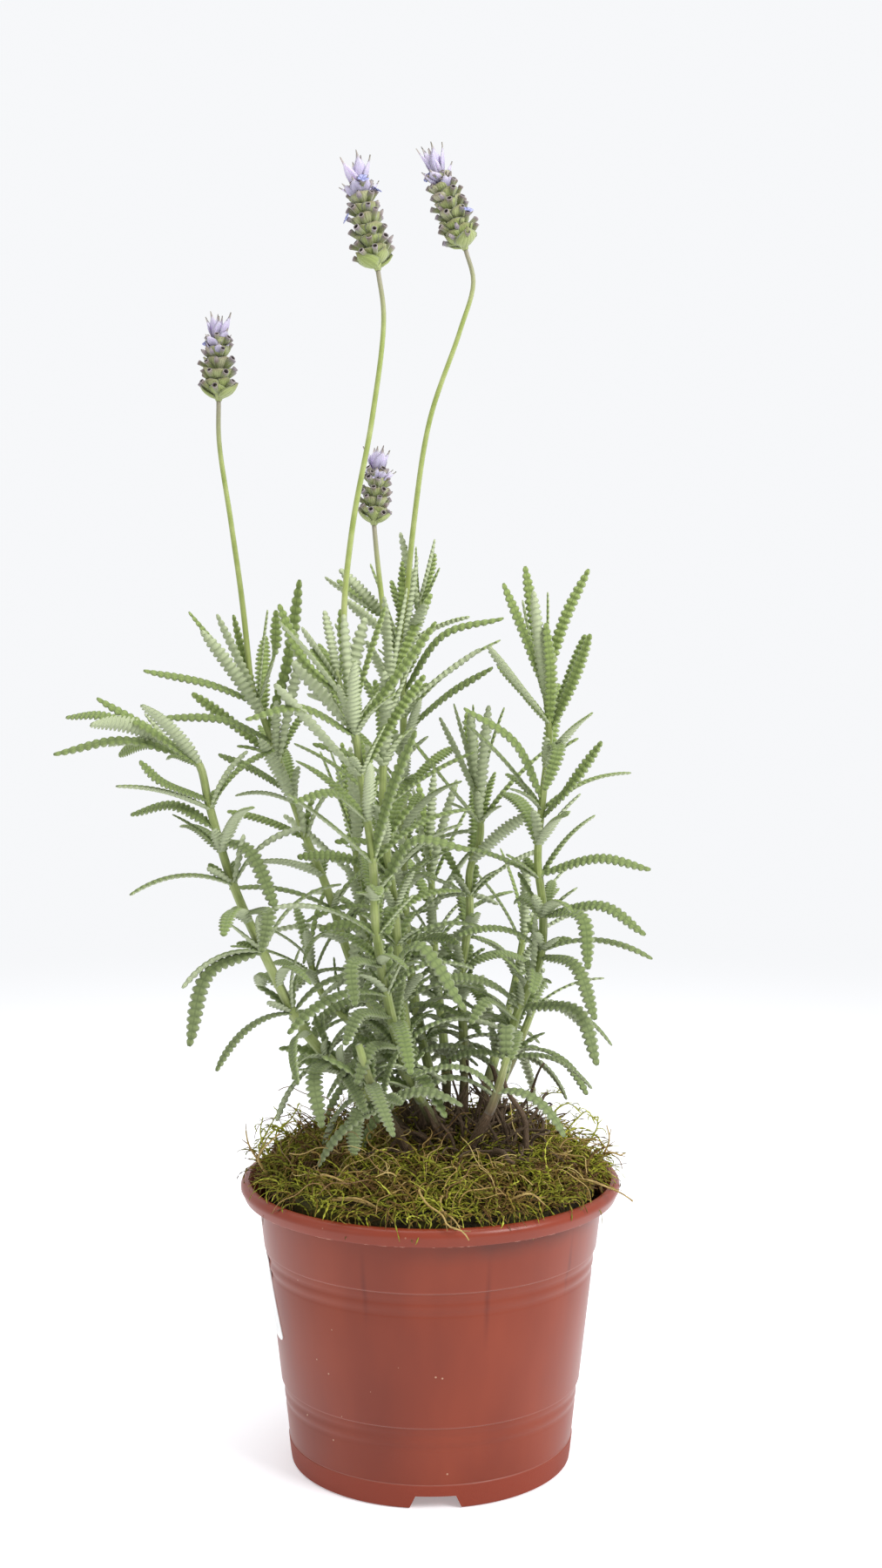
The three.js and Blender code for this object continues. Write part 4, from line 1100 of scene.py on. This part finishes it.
# how far above the wood the lowest leaves stand, in mm, where the crown below them is bare
BARE = {"right": 14, "middle_right": 16, "low_right": 12, "front_right": 9, "rear_flowering": 14,
        "small_flowering": 12}
# how green a stem's wood turns towards its leaves; 1 where it isn't listed
OLD_WOOD = {"front_right": 0.0, "low_right": 0.2, "front_left": 0.2, "middle_right": 0.4,
            "small_flowering": 0.3}
wood_lines = []
for name, route in ROUTES.items():
    line = smooth_line(route, 2.5)
    first, greening = int(np.argmax(line[:, 2] > WOOD_RISE)), OLD_WOOD.get(name, 1.0)
    green = line[first:]
    wood_lines.append((line[:first + 1], greening))
    stem, leaves = Bundle(), Bundle()
    add_green_stem(stem, green, STEM_RADIUS, TIP_RADIUS, greening)
    clothe(leaves, green, AGES.get(name, (0.0, 1.0)), start=BARE.get(name, FIRST_LEAF),
           tip_pairs=TUFTS.get(name, 2 if name.endswith("flowering") else 4))
    for rise, middle, tip, tone in CLEAR_LEAVES.get(name, []):
        add_led_leaf(leaves, [green[np.argmin(np.abs(green[:, 2] - rise))], middle, tip], tone)
    for shoot, branch in BRANCHES:
        if shoot == name:
            twig = smooth_line(branch, 2.5)
            add_green_stem(stem, twig, 1.1, 0.8, 0.7)
            clothe(leaves, twig, (0.85, 1.0), tip_pairs=2, size=0.72, start=6)
    finish_piece(stem.make(), "stem_" + name, stem_finish, ["shoot_" + name])
    finish_piece(leaves.make(), "leaves_" + name, leaf_finish, ["shoot_" + name])

# %% [markdown]
# ## The flower heads
# A head of this lavender is a short thick spike on a long bare stalk. A pair of broad veined bracts
# makes a cup at its foot; above it, whorls of small tubes with round open mouths poke out between
# fan-shaped bracts; and a crest of lilac bracts stands on top. The bracts are each pulled once from
# an outline, like the leaf, the tubes are turned, and all are copied round the head's own axis.
# %% Tube and bract masters
def round_master(outline, sides):
    """A turned shape one long from [place, radius] pairs, as rings for bending."""
    turn = np.arange(sides) * 2 * math.pi / sides
    rings = np.array([[(place, radius * math.cos(t), radius * math.sin(t)) for t in turn]
                      for place, radius in outline])
    return {"rings": rings, "along": np.arange(len(outline)) / len(outline),
            "across": tuple(np.arange(sides + 1) / sides)}


CALYX = round_master([(0.0, 0.42), (0.25, 0.78), (0.55, 0.9), (0.86, 1.0), (0.97, 1.12),
                      (1.0, 1.05), (0.985, 0.82), (0.8, 0.68)], 8)
BUD = round_master([(0.0, 0.5), (0.3, 0.95), (0.65, 1.0), (0.9, 0.6), (1.0, 0.15)], 6)
BRACT_SECTION = [(1.0, 0.28), (0.5, 0.07), (0.0, 0.0), (-0.5, 0.07), (-1.0, 0.28), (0.0, -0.12)]


def blade_master(widths, depth=1.0):
    """A cupped blade one long, pulled from a channel; widths holds places and half widths."""
    section = [(across, above * depth) for across, above in BRACT_SECTION]
    rings = pulled_rings(section, [(place, wide, 0.35 + 0.65 * wide) for place, wide in widths])
    return {"rings": rings, "along": np.array([place for place, _ in widths]),
            "across": LEAF_ACROSS}


CUP_BRACT = blade_master([(0.0, 0.3), (0.12, 0.72), (0.3, 1.0), (0.5, 0.95), (0.68, 0.72),
                          (0.82, 0.42), (0.92, 0.18), (1.0, 0.04)], depth=1.5)
FAN_BRACT = blade_master([(0.0, 0.25), (0.25, 0.55), (0.5, 0.84), (0.72, 1.0), (0.86, 0.88),
                          (0.94, 0.5), (1.0, 0.1)], depth=1.3)
CREST_BRACT = blade_master([(0.0, 0.4), (0.15, 0.7), (0.33, 0.95), (0.5, 1.0), (0.62, 0.82),
                            (0.72, 0.52), (0.8, 0.28), (0.9, 0.13), (1.0, 0.04)], depth=1.3)
PETAL = blade_master([(0.0, 0.4), (0.4, 0.8), (0.75, 1.0), (1.0, 0.45)])
print("head masters, rings:", [len(m["rings"]) for m in (CALYX, BUD, CUP_BRACT, FAN_BRACT)])

# %% Build a head
CALYX_WIDTH = 1.96


def around(first, count, number, stray):
    """The turn of one of a number of parts that stand round an axis, a little astray."""
    return first + count * 2 * math.pi / number + random.uniform(-stray, stray)


def build_head(foot, top, whorls, radius, first_turn):
    """One flower head, from the top of its stalk to the top of its crest."""
    foot, axis = np.array(foot), np.array(top) - np.array(foot)
    length = float(np.linalg.norm(axis))
    along = axis / length
    out_x = unit(np.cross(along, [0.2, 1.0, 0.0]))
    out_y = np.cross(along, out_x)
    cups, tubes, fans, crest, petals = [Bundle() for _ in range(5)]

    def spot(height, turn, away):
        """Where a part starts at a height and a turn, which way is up there, and which is out."""
        outward = out_x * math.cos(turn) + out_y * math.sin(turn)
        return foot + along * height + outward * away, along, outward

    spike = length * 0.68
    core = np.array([foot + along * h for h in np.linspace(-0.5, spike, 12)])
    thick = np.interp(np.linspace(0, 1, 12), [0, 0.15, 0.85, 1], [1.1, 2.6, 2.0, 0.9])
    add_tube(cups, core, thick, tone=0.3)
    for half in range(4):
        big = 0.8 if half % 2 else 1.0
        place = spot(0.1 + 1.2 * (half % 2), around(first_turn, half, 4, 0.2), 0.5)
        add_bent(cups, CUP_BRACT, *place, math.radians(6), math.radians(66), radius * 1.5 * big,
                 radius * 1.45 * big,
                 sway=random.uniform(-0.2, 0.2), tone=random.uniform(0.0, 0.25))
    for whorl in range(whorls):
        share = whorl / (whorls - 1)
        height = 2.4 + (spike - 5.0) * share
        swell = radius * (0.92 + 0.24 * math.sin(math.pi * (0.2 + 0.62 * share)) - 0.3 * share)
        for count in range(7):
            turn = around(first_turn + whorl * 0.45, count, 7, 0.16)
            place = spot(height + random.uniform(-0.8, 0.8), turn, 1.1)
            master = CALYX if random.uniform() < 0.8 else BUD
            tube = add_bent(tubes, master, *place, degrees(14, 34) + math.radians(12 * share),
                            degrees(4, 26), swell * random.uniform(0.92, 1.1),
                            CALYX_WIDTH * random.uniform(0.85, 1.08), tone=random.uniform(0, 1))
            if master is CALYX and random.uniform() < (0.15 if share > 0.6 else 0.03):
                mouth = tube[5].mean(axis=0)
                way = unit(mouth - tube[3].mean(axis=0))
                aside = unit(np.cross(way, along))
                upward = np.cross(aside, way)
                for petal in range(5):
                    turn = petal * 2 * math.pi / 5
                    add_bent(petals, PETAL, mouth, way,
                             aside * math.cos(turn) + upward * math.sin(turn),
                             math.radians(24), math.radians(-20), 2.1, 1.9,
                             tone=random.uniform(0.3, 1))
        for count in range(5):
            place = spot(height - 0.8, around(first_turn + whorl * 0.63, count, 5, 0.12), 1.4)
            add_bent(fans, FAN_BRACT, *place, degrees(34, 46), degrees(18, 36),
                     swell * random.uniform(0.92, 1.12), radius * random.uniform(0.95, 1.15),
                     sway=random.uniform(-0.15, 0.15),
                     tone=float(np.clip(0.1 + 0.6 * share + random.uniform(-0.25, 0.3), 0, 1)))
    rest = length - spike
    for count in range(6):
        add_bent(crest, CREST_BRACT, *spot(spike - 2.6, around(first_turn, count, 6, 0.25), 0.8),
                 degrees(62, 82), degrees(-2, 18), (rest + 2.6) * random.uniform(0.8, 1.04),
                 random.uniform(4.8, 6.2), sway=random.uniform(-0.2, 0.2),
                 twist=random.uniform(-0.5, 0.5), tone=random.uniform(0, 1))
    for count in range(9):
        turn = around(first_turn + 0.4, count, 9, 0.2)
        add_bent(crest, CREST_BRACT, *spot(spike - random.uniform(2.5, 7.5), turn, 1.7),
                 degrees(46, 62), degrees(-12, 16), random.uniform(0.42, 0.56) * rest + 2.6,
                 random.uniform(3.8, 5.0), sway=random.uniform(-0.3, 0.3),
                 twist=random.uniform(-0.5, 0.5), tone=random.uniform(0, 1))
    return cups, tubes, fans, crest, petals


# %% [markdown]
# Green bracts have darker veins that fan out from their foot. The tubes are ribbed, green at the
# foot and grey-purple above, with a pale woolly mouth and painted shade inside it. The crest is thin
# lilac tissue that lets some light through and dries brown at the tips.
# %% Finishes of the heads
def head_green():
    """Bracts of the spike: yellow-green tissue with darker veins and brownish tips."""
    material, surface, _ = start_material("veined_green_bract")
    along, across, tone = map_and_tone(material)
    green = add_node(material, "ValToRGB", {"Fac": tone}, stops=[
        (0.0, "#96A45C"), (0.5, "#ABB27C"), (0.8, "#B3AE93"), (1.0, "#ADA0A8")])
    fan = add_node(material, "Math", {0: across, 1: 14 * math.pi}, operation="MULTIPLY")
    vein = add_node(material, "Math", {0: fan}, operation="COSINE")
    line = add_node(material, "MapRange", {"Value": vein, "From Min": 0.55, "To Max": 0.4})
    veined = add_node(material, "Mix", {"Factor": line, "A": green, "B": "#6C7442"}, "Result",
                      data_type="RGBA")
    rim = add_node(material, "MapRange", {"Value": along, "From Min": 0.75, "To Max": 0.5})
    set_inputs(surface, {
        "Base Color": add_node(material, "Mix", {"Factor": rim, "A": veined, "B": "#7B5C57"},
                               "Result", data_type="RGBA"),
        "Normal": add_node(material, "Bump", {"Height": vein, "Strength": 0.35,
                                              "Distance": 0.0002}),
        "Roughness": 0.7, "Sheen Weight": 0.3})
    return material


def calyx_skin():
    """Calyx tubes: green at the foot, grey-purple to brown, then woolly, with painted shade inside.
    """
    material, surface, _ = start_material("ribbed_calyx")
    along, across, tone = map_and_tone(material)
    body = add_node(material, "ValToRGB", {"Fac": tone}, stops=[
        (0.0, "#6F5C55"), (0.4, "#7D6E6C"), (0.75, "#8A7E92"), (1.0, "#978A80")])
    # the last band is painted shade inside the tube's mouth
    for colour, start, end, strength in (("#87944F", 0.44, 0.26, 0.9), ("#B5ABA6", 0.42, 0.56, 0.6),
                                         ("#2E201D", 0.64, 0.78, 1.0)):
        amount = add_node(material, "MapRange", {"Value": along, "From Min": start,
                                                 "From Max": end, "To Max": strength})
        body = add_node(material, "Mix", {"Factor": amount, "A": body, "B": colour}, "Result",
                        data_type="RGBA")
    ribs = add_node(material, "Math", {0: across, 1: 26 * math.pi}, operation="MULTIPLY")
    rib = add_node(material, "Math", {0: ribs}, operation="COSINE")
    set_inputs(surface, {
        "Base Color": body, "Roughness": 0.8, "Sheen Weight": 0.5,
        "Normal": add_node(material, "Bump", {"Height": rib, "Strength": 0.4, "Distance": 0.0002})})
    return material


def lilac_bract():
    """Crest bracts: thin lilac tissue with purple veins and drying tips."""
    material, surface, _ = start_material("lilac_bract")
    along, across, _ = map_and_tone(material)
    lilac = add_node(material, "ValToRGB", {"Fac": along}, stops=[
        (0.0, "#A199A8"), (0.25, "#B4AAC4"), (0.6, "#C3B9DA"), (0.78, "#CDC5DE"),
        (0.88, "#9A917F"), (1.0, "#7F7862")])
    fan = add_node(material, "Math", {0: across, 1: 12 * math.pi}, operation="MULTIPLY")
    vein = add_node(material, "Math", {0: fan}, operation="COSINE")
    line = add_node(material, "MapRange", {"Value": vein, "From Min": 0.6, "To Max": 0.3})
    set_inputs(surface, {
        "Base Color": add_node(material, "Mix", {"Factor": line, "A": lilac, "B": "#8F7FAA"},
                               "Result", data_type="RGBA"),
        "Roughness": 0.55, "Subsurface Weight": 0.25,
        "Subsurface Radius": (0.002, 0.0012, 0.002), "Subsurface Scale": 1.0})
    return material


def mottled(name, scale, stops, settings):
    """A plain finish whose colour wanders a little from place to place."""
    material, surface, place = start_material(name)
    patch = add_node(material, "TexNoise", {"Vector": place, "Scale": scale})
    set_inputs(surface, {"Base Color": add_node(material, "ValToRGB", {"Fac": patch}, stops=stops),
                         **settings})
    return material


def flower_stalk_skin():
    """A flower stalk: smooth yellow-green, greyer and purplish just below its head."""
    material, surface, place = start_material("flower_stalk_skin")
    tone = map_and_tone(material)[2]
    patch = add_node(material, "TexNoise", {"Vector": place, "Scale": 150.0, "Detail": 3.0})
    green = add_node(material, "ValToRGB", {"Fac": patch},
                     stops=[(0.3, "#8B9A46"), (0.5, "#9BA85A"), (0.75, "#AAB370")])
    set_inputs(surface, {
        "Base Color": add_node(material, "Mix", {"Factor": tone, "A": green, "B": "#948880"},
                               "Result", data_type="RGBA"),
        "Roughness": 0.5, "Sheen Weight": 0.25})
    return material


# %% Set the four heads on their stalks
# each flower: its name, its shoot, the stalk's route, the top of its crest, whorls and radius
FLOWERS = [
    ("left", "left_flowering", [[-70, 26, 211], [-74, 26, 241], [-78, 26, 270], [-78, 26, 285]],
     [-78, 26, 317], 5, 6.6),
    ("main", "main_flowering", [[-30, -28, 205], [-27, -27, 237], [-20, -25, 275],
                                [-16, -22, 310], [-18, -22, 326]], [-27, -20, 367], 7, 6.9),
    ("rear", "rear_flowering", [[-6, 28, 240], [0, 28, 278], [11, 28, 310], [16, 28, 328],
                                [13, 28, 340]], [-1, 28, 378], 7, 6.9),
    ("small", "small_flowering", [[-17, -6, 210], [-19, -6, 228], [-20, -6, 239]],
     [-18, -6, 267], 5, 5.2),
]
bract_finish = head_green()
HEAD_PARTS = [
    ("cup_bracts", bract_finish, "flower_spike_", "calyx"),
    ("calyx_tubes", calyx_skin(), "flower_spike_", "calyx"),
    ("fan_bracts", bract_finish, "flower_spike_", "calyx"),
    ("crest_bracts", lilac_bract(), "crest_bracts_", "crest"),
    ("corollas", mottled("violet_corolla", 900.0, [(0.35, "#9CA0D6"), (0.65, "#B2B6E4")],
                         {"Roughness": 0.7}), "flower_spike_", "crest"),
]
stalk_finish = flower_stalk_skin()
for index, (name, shoot, route, top, whorls, radius) in enumerate(FLOWERS):
    stalk = Bundle()
    line = smooth_line([ROUTES[shoot][-1], *route], 2.5)
    add_tube(stalk, line, np.linspace(1.05, 0.78, len(line)), tone=0.0, corner=0.1)
    piece = stalk.make()
    # the stalk ripens over the 22 mm below its head
    high = on_plant([0, 0, route[-1][2]])[2]
    ripeness = [max(0.0, 1 - (high - vertex.co.z) / 0.022) * 0.85 for vertex in piece.data.vertices]
    piece.data.attributes["tone"].data.foreach_set("value", ripeness)
    finish_piece(piece, "stalk_" + name, stalk_finish, ["flower_stalk_" + name])
    parts = build_head(route[-1], top, whorls, radius, index * 1.1)
    for bundle, (kind, finish, node, slot) in zip(parts, HEAD_PARTS):
        if bundle.points:
            finish_piece(bundle.make(), "%s_of_%s" % (kind, name), finish, [node + name])

# %% [markdown]
# ## The woody crown
# Below the leaves an old lavender turns to wood: grey-brown stems with stringy bark that forks just
# above the soil, and dead twigs left from earlier years. The stems follow their routes into the
# soil; the twigs are strewn between them by a seeded rule.
# %% Woody stems and dead twigs
def stringy_bark():
    """Old lavender bark: grey-brown strings along the stem, greener where it meets young growth."""
    material, surface, place = start_material("stringy_bark")
    shape = add_node(material, "UVMap", uv_map="shape_map")
    drawn = add_node(material, "Mapping", {"Vector": shape, "Scale": (2.0, 16.0, 1.0)})
    string = add_node(material, "TexNoise", {"Vector": drawn, "Scale": 3.0, "Detail": 5.0})
    brown = add_node(material, "ValToRGB", {"Fac": string},
                     stops=[(0.3, "#3A2B1C"), (0.5, "#5B4732"), (0.72, "#86725C")])
    height = add_node(material, "SeparateXYZ", {"Vector": place}, "Z")
    young = add_node(material, "MapRange", {
        "Value": height, "From Min": (RIM_HEIGHT + 20) * MM,
        "From Max": (RIM_HEIGHT + WOOD_RISE + 3) * MM, "To Max": 0.85})
    greener = add_node(material, "Math", {0: young, 1: map_and_tone(material)[2]},
                       operation="MULTIPLY")
    set_inputs(surface, {
        "Base Color": add_node(material, "Mix", {"Factor": greener, "A": brown, "B": "#83905A"},
                               "Result", data_type="RGBA"),
        "Normal": add_node(material, "Bump", {"Height": string, "Strength": 0.8,
                                              "Distance": 0.0006}),
        "Roughness": 0.85})
    return material


bark_finish = stringy_bark()
crown = Bundle()
for line, greening in wood_lines:
    share = np.linspace(0, 1, len(line))
    knobs = 1 + 0.10 * np.sin(share * 9 + len(line)) + 0.05 * np.sin(share * 23)
    add_tube(crown, line, mix(2.7, STEM_RADIUS, share) * knobs, sides=10, tone=greening)
finish_piece(crown.make(), "woody_stems", bark_finish, ["woody_crown"])
twigs = Bundle()
share = np.linspace(0, 1, 13)
for count in range(110):
    foot = np.array([random.uniform(-6, 38), random.uniform(-26, 10), random.uniform(4.0, 8.0)])
    heading, climb = random.uniform(0, 2 * math.pi), random.uniform(0.8, 1.5)
    turn = heading + random.normal(0, 1.6) * share * 1.6 + 0.5 * np.sin(share * 7 + count)
    tilt = climb - random.uniform(0, 1.7) * share + 0.25 * np.sin(share * 9 + count)
    line = foot + np.cumsum(ways_of(turn, tilt), axis=0) * random.uniform(18, 42) / 13
    thick = random.uniform(0.4, 1.0) if count % 5 else random.uniform(1.1, 1.7)
    add_tube(twigs, line, np.linspace(thick, thick * 0.45, 13), sides=6, tone=0.0)
finish_piece(twigs.make(), "dead_twigs", bark_finish, ["woody_crown"])

# %% [markdown]
# ## The flash line
# Where the two halves of the mould met, a thin ragged fin of plastic is left under the rim's lip.
# It is a thin ring of the same plastic whose edge wanders, and so thin that it looks paler.
# %% Moulding flash
flash = Bundle()
turns = np.linspace(0, 2 * math.pi, 361)
fin = RIM_RADIUS - 1.75 + 0.22 * random.random(361) + 0.12 * np.sin(turns * 17)
drop = LIP_BOTTOM - 0.15 + 0.22 * random.random(361) - RIM_HEIGHT
fin[-1], drop[-1] = fin[0], drop[0]
ring = np.stack([fin * np.cos(turns), fin * np.sin(turns), drop], axis=1)
inside = ring * np.array([0.985, 0.985, 1.0])
flash.add(np.stack([ring + [0, 0, 0.22], inside + [0, 0, 0.3], inside - [0, 0, 0.12],
                    ring - [0, 0, 0.12]], axis=1),
          np.linspace(0, 1, 361), (0, 0.25, 0.5, 0.75, 1), 0.5)
flash_plastic = mottled("flash_plastic", 300.0, [(0.35, "#A35C48"), (0.6, "#D09A86")],
                        {"Roughness": 0.5})
finish_piece(flash.make(), "moulding_flash", flash_plastic, ["pot"])

# %% [markdown]
# ## The label
# A blank white paper sticker wraps the left of the pot's wall. It is a strip of the wall's own
# cone, lifted by the paper's thickness. Its lower edge slants a little and its far corners are
# rounded. The paper is coated: bright and smooth, with the faintest mottling.
# %% Sticker
LABEL_TOP, LABEL_TALL, LABEL_THICK, LABEL_STEPS = 79.8, 30.0, 0.25, 48
LABEL_START, LABEL_END = 128, 199
label = Bundle()
rings = []
for step in range(LABEL_STEPS + 1):
    share = step / LABEL_STEPS
    corner = 1.8 * max(0.0, (share - 0.95) / 0.05) ** 2
    top, bottom = LABEL_TOP - corner, LABEL_TOP - LABEL_TALL + corner
    face = [(z, LABEL_THICK) for z in np.linspace(top, bottom, 9)]
    ring = []
    for z, proud in face + [(z, -0.1) for z in np.linspace(bottom, top, 9)]:
        slant = math.radians(11) * (0.36 - (z - LABEL_TOP + LABEL_TALL) / LABEL_TALL) * share
        turn = math.radians(mix(LABEL_START, LABEL_END, share)) + slant
        away = wall_radius(z) + proud
        ring.append((away * math.cos(turn), away * math.sin(turn), z - RIM_HEIGHT))
    rings.append(ring)
label.add(np.array(rings), np.linspace(0, 1, LABEL_STEPS + 1), np.linspace(0, 1, 19), 0.5)
sticker = label.make()
select_only(sticker)
bpy.ops.object.shade_smooth_by_angle(angle=math.radians(30))
paper = mottled("sticker_paper", 400.0, [(0.3, "#EFEFED"), (0.7, "#F8F8F6")], {"Roughness": 0.45})
finish_piece(sticker, "blank_sticker", paper, ["blank_label"])
